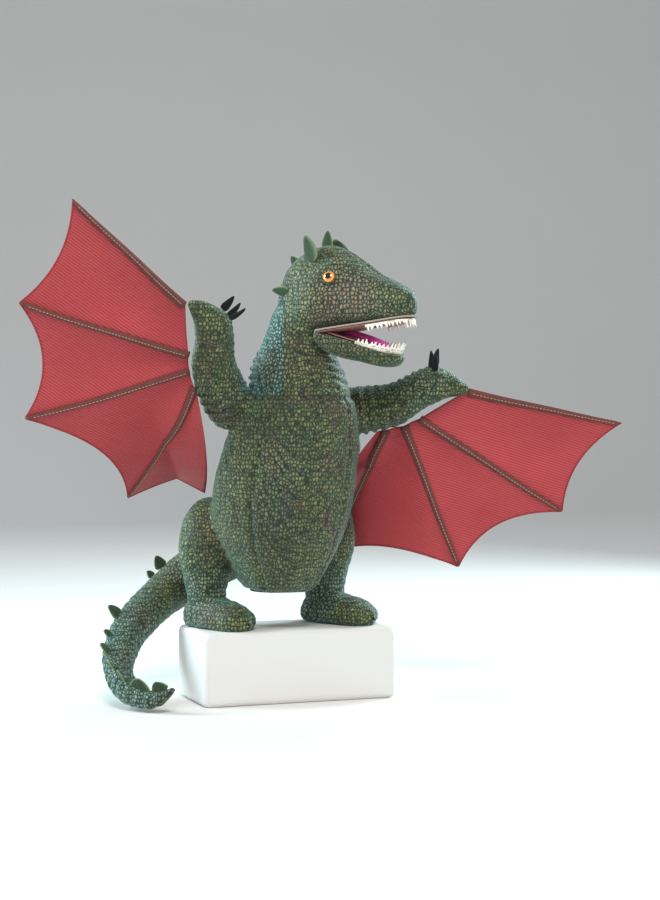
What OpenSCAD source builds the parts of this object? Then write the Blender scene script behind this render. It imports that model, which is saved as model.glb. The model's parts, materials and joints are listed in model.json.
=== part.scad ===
// Hand puppet of a winged dragon, sewn from scale fabric over soft stuffing.
// The hand enters through the cuff under the belly, runs up a lined sleeve, and works
// the head from a finger pocket and the jaw from a thumb pocket.
// The dragon faces -Y, its left side is +X, and the origin is the centre of the cuff's mouth.

/* [Sleeve] */
// Radius of the hemmed cuff's opening
cuff_r = 31; // [28:1:33]
// Height of the cuff's hem
cuff_h = 34; // [28:1:40]
// Thickness of the folded hem
cuff_wall = 2.4; // [1.6:0.2:3.2]
// Radius of the sleeve where it enters the neck
wrist_r = 33; // [29:1:36]
// Thickness of the sleeve's lining cloth
lining_wall = 1.2; // [0.8:0.2:2]

/* [Body] */
// Height of the belly's underside above the cuff's mouth
belly_base_z = 8; // [6:1:12]
// Height of the neck seam above the cuff's mouth
torso_top_z = 236; // [212:2:262]
// Half width of the belly at its fullest
belly_half_w = 88; // [80:1:98]
// Half depth of the belly at its fullest
belly_half_d = 73; // [68:1:82]
// Half width of the chest below the shoulders
chest_half_w = 83; // [76:1:90]
// Radius of the torso at the neck seam
neck_seam_r = 60; // [56:1:64]
// How far the neck seam leans forward of the cuff
chest_lean = 58; // [48:1:66]
// How far the neck seam leans toward the dragon's left
chest_side = 8; // [0:1:12]
// Thickness of the backed scale fabric
skin = 1.8; // [1.2:0.2:2.4]

/* [Neck] */
// Length of the neck above the torso seam
neck_len = 64; // [56:1:72]
// Radius of the neck at its top
neck_top_r = 41; // [38:1:44]
// How far the neck's top reaches forward of its seam
neck_reach = 5; // [0:1:12]

/* [Head] */
// Angle the head is turned toward its left
head_yaw = 37; // [20:1:45]
// Length of the head from the nape to the nose
head_len = 179; // [166:1:194]
// Half width of the head at the cheeks
head_half_w = 40; // [37:1:46]
// Height of the head above the palate
head_h = 98; // [88:1:110]
// Diameter of an eye
eye_d = 15; // [12:0.5:17]
// Angle of the open jaw below the palate's line
jaw_open = 17; // [14:1:19]
// Length of the jaw from its hinge
jaw_len = 100; // [90:1:112]
// Depth of the jaw
jaw_depth = 23; // [20:1:27]
// Length of a tooth
tooth_len = 7; // [5:0.5:9]
// Length of an ear
ear_len = 34; // [28:1:42]

/* [Arms] */
// Length of an arm from the shoulder to the knuckle
arm_len = 152; // [140:1:166]
// Radius of the upper arm
arm_r = 25; // [22:0.5:26]
// Distance of each shoulder from the middle plane
shoulder_x = 70; // [66:1:76]
// Height of the shoulders
shoulder_z = 222; // [214:1:230]
// Length of a hand's claw
claw_len = 22; // [16:1:28]

/* [Wings] */
// Distance from the shoulder out to the wing's leading tip
wing_span = 333; // [300:1:366]
// Drop of the longest rib's tip below the arm
wing_drop = 224; // [200:1:240]
// Thickness of the wing cloth
wing_wall = 1; // [0.8:0.1:1.6]
// Width of a rib's sewn casing
rib_w = 10; // [7:0.5:12]
// Diameter of the boning in a rib
boning_d = 1.6; // [1.2:0.1:2]

/* [Legs] */
// How far each leg's middle stands inside the belly's side
leg_inset = 11; // [4:1:14]
// Radius of the thigh
thigh_r = 25; // [21:0.5:25.5]
// Height of the soles below the cuff's mouth
sole_drop = 46; // [40:1:54]
// Length of a foot in front of the ankle's centre
toe_len = 70; // [60:1:78]
// Half width of a foot
foot_half_w = 27; // [23:0.5:29]

/* [Tail] */
// Radius of the tail at its root
tail_root_r = 34; // [30:1:36]
// Radius of the tail at its middle joint
tail_mid_r = 25; // [22:1:27]
// Radius of the tail near its tip
tail_tip_r = 8; // [6:0.5:10]

/* [Fins] */
// Length of the largest fins
fin_len = 22; // [16:1:28]
// Thickness of the felt of fins, ears and claws
felt_wall = 2; // [1.2:0.2:2.6]

/* [Hidden] */
gap = 0.6;              // clearance between pieces of one body
seam = 1.2;             // half angle left open at each lengthwise seam, degrees
scale_green = "#5f7350";
felt_green = "#4d6b49";
wing_red = "#b9474c";
tape_brown = "#6b3f38";
lining_black = "#33343a";

// ---- curves and closed solids -----------------------------------------------------------

function unit(v) = v / norm(v);
function cubic(a, b, c, d, t) =
    (2 * b + (c - a) * t + (2 * a - 5 * b + 4 * c - d) * t * t + (3 * b - a - 3 * c + d) * t * t * t) / 2;
function spline(stations, u) =
    let (n = len(stations) - 1, i = max(0, min(floor(u * n), n - 1)))
    cubic(stations[max(i - 1, 0)], stations[i], stations[i + 1], stations[min(i + 2, n)], u * n - i);
function reversed(list) = [for (i = [len(list) - 1:-1:0]) list[i]];
function quad(a, b, c, d) = [[a, b, c], [a, c, d]];
// faces between successive rings of n points; wrap joins the last ring to the first
function side_faces(rows, n, wrap) = [
    for (j = [0:rows - (wrap ? 1 : 2)], i = [0:n - 1])
        let (next = (j + 1) % rows, k = (i + 1) % n)
        each quad(j * n + i, next * n + i, next * n + k, j * n + k)];

// closed solid through rings, with a flat end at each end
module loft(rings) {
    n = len(rings[0]);
    rows = len(rings);
    ends = [[for (i = [0:n - 1]) i], [for (i = [n - 1:-1:0]) (rows - 1) * n + i]];
    polyhedron([for (r = rings) each r], concat(side_faces(rows, n, false), ends));
}

// tube with both ends open: out along the outer rings and back along the inner ones
module tube(outer, inner) {
    rings = concat(outer, reversed(inner));
    polyhedron([for (r = rings) each r], side_faces(len(rings), len(rings[0]), true));
}

// bag with one mouth, at the first rings
module bag(outer, inner) {
    loft(concat(reversed(inner), outer));
}

// sheet with thickness, between two grids of the same size
module sheet(outer, inner) {
    rows = len(outer);
    cols = len(outer[0]);
    all = rows * cols;
    function at(i, j) = i * cols + j;
    faces = concat(
        [for (i = [0:rows - 2], j = [0:cols - 2])
            each quad(at(i, j), at(i + 1, j), at(i + 1, j + 1), at(i, j + 1))],
        [for (i = [0:rows - 2], j = [0:cols - 2])
            each quad(all + at(i, j), all + at(i, j + 1), all + at(i + 1, j + 1), all + at(i + 1, j))],
        [for (j = [0:cols - 2]) each quad(at(0, j), at(0, j + 1), all + at(0, j + 1), all + at(0, j))],
        [for (j = [0:cols - 2], i = rows - 1)
            each quad(at(i, j + 1), at(i, j), all + at(i, j), all + at(i, j + 1))],
        [for (i = [0:rows - 2]) each quad(at(i + 1, 0), at(i, 0), all + at(i, 0), all + at(i + 1, 0))],
        [for (i = [0:rows - 2], j = cols - 1)
            each quad(at(i, j), at(i + 1, j), all + at(i + 1, j), all + at(i, j))]);
    polyhedron(concat([for (r = outer) each r], [for (r = inner) each r]), faces);
}

// ring of n points about a line, across direction dir
function ring(c, dir, r, n) =
    let (d = unit(dir), u = unit(cross([0, 0.2, 1], d)), v = cross(d, u))
    [for (i = [0:n - 1]) c + r * (u * cos(360 * i / n) + v * sin(360 * i / n))];
// rings along stations [x, y, z, r], taken in by inset, from share a to share b of the line
function sweep(stations, n, rows, inset, a, b) = [
    for (k = [0:rows])
        let (t = a + (b - a) * k / rows, e = 0.01,
            p = spline(stations, t), q = spline(stations, min(1, t + e)), o = spline(stations, max(0, t - e)))
        ring([p[0], p[1], p[2]], [q[0] - o[0], q[1] - o[1], q[2] - o[2]], max(0.3, p[3] - inset), n)];

// leaf of felt standing in the XZ plane: root on the origin, tip at +Z, bent by hook
module leaf(length, width, hook) {
    steps = 7;
    function edge(t, side) = [
        side * width / 2 * pow(sin(180 * (0.16 + 0.84 * t)), 0.8) + hook * t * t, length * t];
    rotate([90, 0, 0])
        linear_extrude(felt_wall, center = true)
            polygon(concat([for (i = [0:steps]) edge(i / steps, -1)],
                [for (i = [steps - 1:-1:0]) edge(i / steps, 1)]));
}

// ---- torso ------------------------------------------------------------------------------

torso_h = torso_top_z - belly_base_z;
seat_r = cuff_r + cuff_wall + gap;
// stations up the torso: forward lean, height, half width, half depth
torso_line = [
    [0, 0, seat_r + 1, seat_r + 1],
    [0.03, 0.03, 0.63 * belly_half_w, 0.77 * belly_half_d],
    [0.07, 0.12, 0.69 * belly_half_w, 0.88 * belly_half_d],
    [0.11, 0.23, 0.87 * belly_half_w, 0.96 * belly_half_d],
    [0.17, 0.37, belly_half_w, belly_half_d],
    [0.34, 0.53, 0.97 * belly_half_w, 0.95 * belly_half_d],
    [0.6, 0.71, chest_half_w, 0.88 * belly_half_d],
    [0.84, 0.87, 0.9 * chest_half_w, 0.83 * belly_half_d],
    [1, 1, neck_seam_r, 0.96 * neck_seam_r]];
// point on the torso at share h of its height and angle a about it, taken in by inset
function torso_point(h, a, inset) =
    let (e = 0.01, p = spline(torso_line, h),
        d = spline(torso_line, min(1, h + e)) - spline(torso_line, max(0, h - e)),
        run = unit([d[2], d[1] * torso_h]))
    [(p[2] - inset * run[1]) * cos(a) + p[0] * chest_side,
        (p[3] - inset * run[1]) * sin(a) - p[0] * chest_lean,
        belly_base_z + p[1] * torso_h + inset * run[0]];
function torso_grid(a1, a2, cols, inset) = [
    for (i = [0:torso_rows])
        [for (j = [0:cols]) torso_point(i / torso_rows, a1 + (a2 - a1) * j / cols, inset)]];
torso_rows = 14;
belly_edge = 42;        // half angle of the belly panel about the front
back_edge = 32;         // half angle of the back panel about the back

module torso_panel(a1, a2, cols) {
    sheet(torso_grid(a1 + seam, a2 - seam, cols, 0), torso_grid(a1 + seam, a2 - seam, cols, skin));
}

module belly_panel() color(scale_green) torso_panel(-90 - belly_edge, -90 + belly_edge, 8);
module back_panel() color(scale_green) torso_panel(90 - back_edge, 90 + back_edge, 6);
module flank_panel_left() color(scale_green) torso_panel(-90 + belly_edge, 90 - back_edge, 8);
module flank_panel_right() color(scale_green) torso_panel(90 + back_edge, 270 - belly_edge, 8);

// the sleeve's centre line follows the lean of the chest
sleeve_line = [
    [0, 0, cuff_h + gap, cuff_r + cuff_wall],
    [0.1 * chest_side, -0.1 * chest_lean, 0.34 * torso_top_z, cuff_r + 1],
    [0.5 * chest_side, -0.5 * chest_lean, 0.67 * torso_top_z, (cuff_r + wrist_r) / 2 + lining_wall],
    [chest_side, -chest_lean, torso_top_z - 2, wrist_r + lining_wall]];
function flat_ring(p, r, n) = [
    for (i = [0:n - 1]) let (a = 360 * i / n) [p[0] + r * cos(a), p[1] + r * sin(a), p[2]]];
function sleeve_rings(inset, a, b) = [
    for (k = [0:8]) let (p = spline(sleeve_line, a + (b - a) * k / 8)) flat_ring(p, p[3] - inset, 28)];

module torso_padding() {
    color("#d9d4c8")
        tube([for (i = [2:torso_rows - 1])
                [for (j = [0:27]) torso_point(i / torso_rows, 360 * j / 28, skin + gap)]],
            sleeve_rings(-gap, 0.02, 0.96));
}

module hand_sleeve() {
    color(lining_black)
        tube(sleeve_rings(0, 0, 1), sleeve_rings(lining_wall, 0, 1));
}

module sleeve_cuff() {
    color(lining_black)
        difference() {
            cylinder(h = cuff_h, r = cuff_r + cuff_wall, $fn = 96);
            translate([0, 0, -1])
                cylinder(h = cuff_h + 2, r = cuff_r, $fn = 96);
        }
}

// fins stand on the middle line of the back; the share of height and the size of each
module back_fins() {
    color(felt_green)
        for (i = [0:4]) {
            h = 0.42 + 0.11 * i;
            foot = torso_point(h, 90, -5 * gap);
            translate(foot)
                rotate([-62, 0, 0])
                    rotate([0, 0, 90])
                        leaf((i % 2 == 0 ? 0.8 : 0.55) * fin_len, 0.8 * fin_len, 0);
        }
}

// ---- neck -------------------------------------------------------------------------------

neck_gap = 11;          // room under the neck for its nod
neck_foot_z = torso_top_z + neck_gap;
neck_top_z = neck_foot_z + neck_len;
neck_foot = [chest_side, -chest_lean, neck_foot_z];
neck_top = [chest_side, -chest_lean - neck_reach, neck_top_z];
neck_line = [
    concat(neck_foot, [0.9 * neck_seam_r]),
    concat(neck_foot * 0.72 + neck_top * 0.28, [0.92 * neck_seam_r]),
    concat(neck_foot * 0.4 + neck_top * 0.6, [0.3 * neck_seam_r + 0.7 * neck_top_r]),
    concat(neck_top, [neck_top_r])];
nape_dir = 110;         // direction of the nape about the neck
nape_edge = 50;         // half angle of the nape panel
function neck_point(h, a, inset) =
    let (p = spline(neck_line, h)) [p[0] + (p[3] - inset) * cos(a), p[1] + (p[3] - inset) * sin(a), p[2]];
function neck_grid(a1, a2, cols, inset) = [
    for (i = [0:8]) [for (j = [0:cols]) neck_point(i / 8, a1 + (a2 - a1) * j / cols, inset)]];

module neck_panel(a1, a2, cols) {
    sheet(neck_grid(a1 + seam, a2 - seam, cols, 0), neck_grid(a1 + seam, a2 - seam, cols, skin));
}

module throat_panel() color(scale_green) neck_panel(nape_dir + nape_edge, nape_dir + 360 - nape_edge, 16);
module nape_panel() color("#4f8f86") neck_panel(nape_dir - nape_edge, nape_dir + nape_edge, 8);

function neck_sleeve_rings(inset) = [
    for (k = [0:6])
        let (p = spline(neck_line, k / 6), r = min(p[3] - skin - gap, wrist_r + lining_wall))
        flat_ring(p, r - inset, 28)];
module neck_sleeve() {
    color(lining_black)
        tube(neck_sleeve_rings(0), neck_sleeve_rings(lining_wall));
}

module neck_fins() {
    color(felt_green)
        for (i = [0:3]) {
            translate(neck_point(0.2 + 0.21 * i, nape_dir, -3 * gap))
                rotate([0, 0, nape_dir])
                    rotate([0, 72, 0])
                        leaf((i % 2 == 0 ? 0.6 : 0.95) * fin_len, 0.7 * fin_len, 0);
        }
}

// ---- head -------------------------------------------------------------------------------
// Head pieces are drawn in the head's own axes: Y is minus the distance toward the nose,
// X is toward the dragon's left. The frame stands on the neck's line and turns by head_yaw.

head_back = -20;        // the nape's distance in front of the turning line
head_floor_z = neck_top_z + 2.5;
palate_rise = 8;        // slope of the palate up toward the nose
mouth_x = 44;           // distance of the jaw's hinge in front of the turning line
mouth_z = head_floor_z - 1;

module head_frame() {
    translate([neck_top[0], neck_top[1], 0])
        rotate([0, 0, head_yaw])
            children();
}
// stations from nape to nose: distance, rim height, crown height, half width
skull_line = [
    [0, 0.16, 0.36, 0.2], [0.07, 0, 0.66, 0.72], [0.18, 0, 0.88, 0.94], [0.31, 0, 0.99, 1],
    [0.43, 0.01, 1, 0.98], [0.54, 0.03, 0.91, 0.88], [0.65, 0.07, 0.77, 0.74], [0.77, 0.1, 0.64, 0.65],
    [0.88, 0.13, 0.56, 0.58], [0.96, 0.16, 0.47, 0.45], [1, 0.22, 0.36, 0.16]];
// point on the skull at share t of its length and angle a from the left rim over the crown
function skull_point(t, a, inset) =
    let (p = spline(skull_line, t), w = max(1, p[3] * head_half_w - inset),
        low = head_floor_z + p[1] * head_h, high = max(low + 2, head_floor_z + p[2] * head_h - inset),
        c = cos(a), s = sin(a))
    [w * sign(c) * pow(abs(c), 0.75),
        -(head_back + p[0] * head_len + (t < 0.5 ? 1 : -1) * inset * pow(abs(2 * t - 1), 3)),
        low + (high - low) * pow(abs(s), 0.75)];
function skull_grid(rows, cols, inset, a, b) = [
    for (j = [0:cols]) [for (i = [0:rows]) skull_point(a + (b - a) * i / rows, 180 - 180 * j / cols, inset)]];
// half outline of the mouth at share t, taken in by inset
function mouth_half(t, inset) = max(0.5, spline(skull_line, t)[3] * head_half_w - inset);
function mouth_y(t) = -(head_back + spline(skull_line, t)[0] * head_len);
mouth_start = 0.34;     // share of the skull's length where the mouth begins
mouth_end = 0.98;
function mouth_outline(inset, cols) =
    let (ts = [for (i = [0:cols]) mouth_start + (mouth_end - mouth_start) * i / cols])
    concat([for (t = ts) [mouth_half(t, inset), mouth_y(t)]],
        [for (t = reversed(ts)) [-mouth_half(t, inset), mouth_y(t)]]);

module skull_cover() {
    color(scale_green)
        head_frame()
            sheet(skull_grid(18, 14, 0, 0, 1), skull_grid(18, 14, skin, 0, 1));
}

// plate of the mouth's roof: outline drawn flat, then tilted about the mouth's corner
module palate_plate(z, thick, inset) {
    head_frame()
        translate([0, -mouth_x, mouth_z])
            rotate([-palate_rise, 0, 0])
                translate([0, mouth_x, z])
                    linear_extrude(thick)
                        polygon(mouth_outline(inset, 10));
}

lining_drop = 3;        // depth of the mouth lining below the palate board
module palate_board() color("#8a7d6d") palate_plate(gap, 2, skin + 1.4);
module upper_mouth_lining() color("#a46a64") palate_plate(-gap - lining_wall, lining_wall, skin + 1.4);

module snout_foam() {
    rows = 7;
    color("#d9d4c8")
        head_frame()
            loft([for (i = [0:rows])
                let (t = 0.69 + 0.23 * i / rows, y = mouth_y(t), w = mouth_half(t, skin + 3.4),
                    top = skull_point(t, 90, skin + 3.4)[2],
                    low = mouth_z + 4.5 + tan(palate_rise) * (-y - mouth_x))
                [for (k = [0:15])
                    [w * cos(22.5 * k), y, (top + low) / 2 + (top - low) / 2 * sin(22.5 * k)]]]);
}

// pocket for the fingers: up through the neck's top, then forward under the crown
pocket_r = 22;
finger_line = [
    [0, -8, head_floor_z + gap, pocket_r], [0, -14, head_floor_z + 22, pocket_r],
    [0, -36, head_floor_z + 42, 0.92 * pocket_r], [0, -66, head_floor_z + 47, 0.84 * pocket_r],
    [0, -90, head_floor_z + 44, 0.5 * pocket_r]];
module finger_pocket() {
    color(lining_black)
        head_frame()
            bag(sweep(finger_line, 16, 8, 0, 0, 1), sweep(finger_line, 16, 8, lining_wall, 0, 0.97));
}

// band of pointed teeth that follows a half outline [x, y], back to front, and its mirror
tooth_wall = 1.2;
tooth_band = 2.4;       // height of the band the teeth rise from
module tooth_row(half, root, tips) {
    edge = concat(half, [for (p = reversed(half)) [-p[0], p[1]]]);
    ends = concat(tips, reversed(tips));
    function row(up, by) = [for (i = [0:len(edge) - 1])
        [edge[i][0] - sign(edge[i][0]) * by, edge[i][1] + 0.5 * by, up ? ends[i] : root]];
    outside = [row(false, 0), row(true, 0)];
    inside = [row(false, tooth_wall), row(true, tooth_wall)];
    if (tips[0] > root) sheet(inside, outside);
    else sheet(outside, inside);
}

module upper_teeth() {
    steps = 16;
    ts = [for (i = [0:steps]) 0.6 + 0.37 * i / steps];
    root = -2 * gap - lining_wall;
    color("ivory")
        head_frame()
            translate([0, -mouth_x, mouth_z])
                rotate([-palate_rise, 0, 0])
                    translate([0, mouth_x, 0])
                        tooth_row([for (t = ts) [mouth_half(t, skin + 3), mouth_y(t)]], root,
                            [for (i = [0:steps]) root - tooth_band - (i % 2 == 1 ? tooth_len : 0)]);
}

// eyes: a domed disc with a shank that passes through the cover into a washer
eye_t = 0.46;           // share of the head's length at the eyes
eye_angle = 34;         // angle of the eyes up from the rim
shank_r = 2;
module at_eye(side) {
    p = skull_point(eye_t, eye_angle, 0);
    head_frame()
        translate([side * p[0], p[1], p[2]])
            rotate([0, side * 72, 0])
                children();
}
module eye(side) {
    color("darkorange")
        at_eye(side) {
            translate([0, 0, gap + 1.2])
                intersection() {
                    translate([0, 0, -eye_d / 4])
                        sphere(d = 1.15 * eye_d, $fn = 48);
                    cylinder(h = eye_d / 2, r = eye_d / 2, $fn = 48);
                }
            translate([0, 0, -9])
                cylinder(h = 9 + gap + 2, r = shank_r, $fn = 24);
        }
}
module eye_left() eye(1);
module eye_right() eye(-1);
module eye_washers() {
    color("#e8e6df")
        for (side = [-1, 1])
            at_eye(side)
                translate([0, 0, -7.6])
                    difference() {
                        cylinder(h = 1.4, r = 6, $fn = 32);
                        translate([0, 0, -1])
                            cylinder(h = 4, r = shank_r + 0.05, $fn = 32);
                    }
}

module ear(side) {
    p = skull_point(0.27, 54, -gap - 1);
    color(felt_green)
        head_frame()
            translate([side * p[0], p[1], p[2]])
                rotate([12, side * 20, 0])
                    rotate([0, 0, 90 + side * 28])
                        leaf(ear_len, 0.6 * ear_len, 0);
}
module ear_left() ear(1);
module ear_right() ear(-1);

module cheek_fins() {
    p = skull_point(0.16, 26, -gap - 1);
    color(felt_green)
        head_frame()
            for (side = [-1, 1])
                translate([side * p[0], p[1], p[2]])
                    rotate([-64, side * 26, 0])
                        rotate([0, 0, 90])
                            leaf(fin_len, 0.7 * fin_len, 0);
}

module crest_fins() {
    color(felt_green)
        head_frame()
            for (i = [0:3]) {
                p = skull_point(0.06 + 0.09 * i, 90, -gap - 0.6);
                translate(p)
                    rotate([-78 + 20 * i, 0, 0])
                        rotate([0, 0, 90])
                            leaf((i % 2 == 0 ? 0.7 : 1) * fin_len, 0.7 * fin_len, 0);
            }
}

// ---- jaw --------------------------------------------------------------------------------
// Jaw pieces are drawn in the jaw's own axes: its top is Z 0 and its hinge is the X axis.

module jaw_frame() {
    head_frame()
        translate([0, -mouth_x, mouth_z])
            rotate([jaw_open, 0, 0])
                children();
}
// stations from hinge to chin: distance, half width, depth
jaw_line = [[0.16, 0.82, 0.92], [0.26, 0.84, 1], [0.45, 0.72, 0.96], [0.66, 0.62, 0.84],
    [0.84, 0.55, 0.76], [0.95, 0.42, 0.62], [1, 0.18, 0.36]];
function jaw_at(t, inset) =
    let (p = spline(jaw_line, t))
    [max(1, p[1] * head_half_w - inset), -(p[0] * jaw_len - (t > 0.9 ? inset : 0)),
        max(1.5, p[2] * jaw_depth - inset)];
function jaw_point(t, a, inset) =
    let (p = jaw_at(t, inset), c = cos(a), s = sin(a))
    [p[0] * sign(c) * pow(abs(c), 0.8), p[1], -p[2] * pow(abs(s), 0.8)];
function jaw_outline(inset, a, b) =
    let (ts = [for (i = [0:10]) a + (b - a) * i / 10])
    concat([for (t = ts) [jaw_at(t, inset)[0], jaw_at(t, inset)[1]]],
        [for (t = reversed(ts)) [-jaw_at(t, inset)[0], jaw_at(t, inset)[1]]]);

module jaw_cover() {
    function grid(inset) = [for (j = [0:10]) [for (i = [0:12]) jaw_point(i / 12, 18 * j, inset)]];
    color(scale_green)
        jaw_frame()
            sheet(grid(0), grid(skin));
}
module jaw_plate(z, thick, inset) {
    jaw_frame()
        translate([0, 0, z])
            linear_extrude(thick)
                polygon(jaw_outline(inset, 0.04, 0.96));
}
module jaw_board() color("#8a7d6d") jaw_plate(-2.2, 2, skin + 1.6);
module lower_mouth_lining() color("#a46a64") jaw_plate(gap, lining_wall, skin + 1.6);

thumb_r = 8;
thumb_line = [
    [0, -0.2 * jaw_len, -0.5 * jaw_depth, thumb_r],
    [0, -0.4 * jaw_len, -0.5 * jaw_depth, thumb_r],
    [0, -0.58 * jaw_len, -0.47 * jaw_depth, 0.85 * thumb_r],
    [0, -0.7 * jaw_len, -0.45 * jaw_depth, 0.4 * thumb_r]];
module thumb_pocket() {
    color(lining_black)
        jaw_frame()
            bag(sweep(thumb_line, 14, 6, 0, 0, 1), sweep(thumb_line, 14, 6, lining_wall, 0, 0.96));
}

module lower_teeth() {
    steps = 18;
    ts = [for (i = [0:steps]) 0.45 + 0.5 * i / steps];
    root = gap + lining_wall + 0.4;
    color("ivory")
        jaw_frame()
            tooth_row([for (t = ts) let (p = jaw_at(t, skin + 1.8)) [p[0], p[1]]], root,
                [for (i = [0:steps]) root + tooth_band + 8 * (ts[i] - 0.45) + (i % 2 == 1 ? tooth_len : 0)]);
}

module tongue() {
    stations = [[0, -28, 6, 5], [0, -40, 6.5, 9], [0, -62, 6.5, 8], [0, -80, 6, 3]];
    color("#c2267e")
        jaw_frame()
            translate([0, 0, gap + lining_wall + 0.6])
                loft([for (k = [0:8])
                    let (p = spline(stations, k / 8))
                    [for (i = [0:11]) [p[3] * cos(30 * i), p[1], 0.22 * p[3] * (1 + sin(30 * i))]]]);
}

// ---- arms -------------------------------------------------------------------------------
// An arm is drawn along +X from its shoulder, +Y toward the back and +Z up, then posed.
// The right arm is the mirror of a left one with its own pose.

shoulder_y = -35;
function raise(side) = side > 0 ? 10 : 60;
function reach(side) = side > 0 ? 22 : 24;
wing_sweep = 10;        // how far the wing's trailing side lies back
module arm_frame(side) {
    mirror([side > 0 ? 0 : 1, 0, 0])
        translate([shoulder_x, shoulder_y, shoulder_z])
            rotate([0, -raise(side), 0])
                rotate([0, 0, -reach(side)])
                    rotate([wing_sweep, 0, 0])
                        children();
}
function crook(side) = side > 0 ? -3 : 3;
// stations from the shoulder to the knuckle, with the hand held in a fist
function arm_line(side) =
    let (k = arm_len / 152, c = crook(side))
    [[24, 0, c - 4, 0.5 * arm_r], [31, 0, c - 4, 0.86 * arm_r], [43 * k, 0, c - 4, 1.02 * arm_r],
        [60 * k, 0, c - 3, 0.98 * arm_r], [82 * k, 0, c + 4, 0.9 * arm_r], [102 * k, 0, c + 12, 0.9 * arm_r],
        [120 * k, 0, c + 12, 0.8 * arm_r], [138 * k, 0, c + 7, 0.54 * arm_r], [152 * k, 0, 0, 0.2 * arm_r]];

module arm_skin(side) {
    color(scale_green)
        arm_frame(side)
            bag(sweep(arm_line(side), 18, 18, 0, 0, 1), sweep(arm_line(side), 18, 18, skin, 0, 0.94));
}
module arm_stuffing(side) {
    color("#d9d4c8")
        arm_frame(side)
            loft(sweep(arm_line(side), 14, 10, skin + 1.6, 0.03, 0.88));
}
module hand_claws(side) {
    k = arm_len / 152;
    color("#1d1d1f")
        arm_frame(side)
            for (i = [-1:1])
                translate([(116 + 3 * abs(i)) * k, 12 * i, crook(side) + 12 + 0.9 * arm_r + gap])
                    rotate([-14 * i, 10 + 6 * i, 0])
                        rotate([0, 0, 24 * i])
                            leaf(claw_len, 0.42 * claw_len, 3);
}
module arm_skin_left() arm_skin(1);
module arm_skin_right() arm_skin(-1);
module arm_stuffing_left() arm_stuffing(1);
module arm_stuffing_right() arm_stuffing(-1);
module hand_claws_left() hand_claws(1);
module hand_claws_right() hand_claws(-1);

// ---- wings ------------------------------------------------------------------------------
// A wing is drawn in its arm's frame. Each lengthwise line runs from a point on the arm's
// lower edge to a point on the scalloped hem. Four of those lines carry a rib.

function tuck(side) = side > 0 ? 68 : 42;   // how far the inner panel bends back
bend_start = 84;        // distance along the arm where the wing begins to bend back
bend_reach = 130;       // distance from there at which it has bent by the whole tuck
bend_room = 60;         // distance below the arm over which the bend grows
function scaled(share) = [share[0] * wing_span, share[1] * wing_drop];
// root and tip of each rib, then of the inner edge: [along the arm, below the arm]
function rib_ends(side) =
    let (k = arm_len / 152, low = crook(side) - 4 - 1.02 * arm_r - 3)
    [[[156 * k, -3], [wing_span, -74]],
        [[92 * k, low + 7], scaled([0.74, -0.777])],
        [[72 * k, low + 1], scaled([0.33, -1])],
        [[50 * k, low - 1], scaled(side > 0 ? [-0.21, -0.92] : [-0.345, -0.675])],
        [[38 * k, low - 1], scaled(side > 0 ? [-0.1, -0.47] : [-0.41, -0.28])]];
scallop = [0.13, 0.17, 0.13, 0.05];         // depth of each hem scallop, as a share of its chord
function bent(p, side) =
    let (run = max(0, bend_start - p[0]), far = min(1, max(0, -p[1] - arm_r) / bend_room),
        w = min(0.85 * run, tuck(side) * pow(run / bend_reach, 1.4) * far))
    [p[0] + run - sqrt(max(0, run * run - w * w)), w, p[1]];
// point on a wing: v counts ribs from the leading edge, r runs from root to hem
function wing_flat(side, v, r) =
    let (e = rib_ends(side), i = min(floor(v), 3), f = v - i, a = e[i], b = e[i + 1],
        chord = b[1] - a[1], inward = unit((a[0] + b[0] - a[1] - b[1]) / 2),
        root = a[0] * (1 - f) + b[0] * f, hem = a[1] * (1 - f) + b[1] * f)
    root + (hem + inward * norm(chord) * scallop[i] * 4 * f * (1 - f) - root) * r;
function wing_point(side, v, r, lift) = bent(wing_flat(side, v, r), side) + [0, lift, 0];

module wing_cloth(side) {
    panel = 6;          // steps across one panel
    along = 7;          // steps from root to hem
    function grid(lift) = [
        for (i = [0:4 * panel]) [for (j = [0:along]) wing_point(side, i / panel, j / along, lift)]];
    color(wing_red)
        arm_frame(side)
            sheet(grid(wing_wall / 2), grid(-wing_wall / 2));
}
// clear space on each side of a rib's boning
rod_room = 0.7;
// casing tape over rib v, on the front of the wing
module casing(side, v) {
    steps = 8;
    lift = -wing_wall / 2 - boning_d - 2 * rod_room;
    shift = v == 0 ? 0.5 : 0;
    function width(r) = rib_w * (1 - 0.45 * r) / 2;
    function edge(r, s, thick) =
        let (a = wing_flat(side, v, r), d = unit(wing_flat(side, v, 1) - wing_flat(side, v, 0)),
            n = [d[1], -d[0]], m = width(r) * (s + shift * 2))
        bent(a + n * m, side) + [0, lift - thick, 0];
    function grid(thick) = [for (i = [0:steps]) let (r = 0.03 + 0.94 * i / steps)
        [edge(r, -1, thick), edge(r, 1, thick)]];
    sheet(grid(1), grid(0));
}
module rib_rod(side, v) {
    steps = 8;
    lift = -wing_wall / 2 - rod_room - boning_d / 2;
    shift = v == 0 ? rib_w / 3 : 0;
    d = unit(wing_flat(side, v, 1) - wing_flat(side, v, 0));
    function at(r) = bent(wing_flat(side, v, r) + [d[1], -d[0]] * shift, side) + [0, lift, 0];
    loft([for (i = [0:steps]) let (r = 0.06 + 0.86 * i / steps)
        ring(at(r), at(min(1, r + 0.05)) - at(r - 0.05), boning_d / 2, 6)]);
}
module leading_rib(side) color(tape_brown) arm_frame(side) casing(side, 0);
module fan_ribs(side) color(tape_brown) arm_frame(side) for (v = [1:3]) casing(side, v);
module rib_boning(side) color("#e8e6df") arm_frame(side) for (v = [0:3]) rib_rod(side, v);
module wing_cloth_left() wing_cloth(1);
module wing_cloth_right() wing_cloth(-1);
module leading_rib_left() leading_rib(1);
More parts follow.
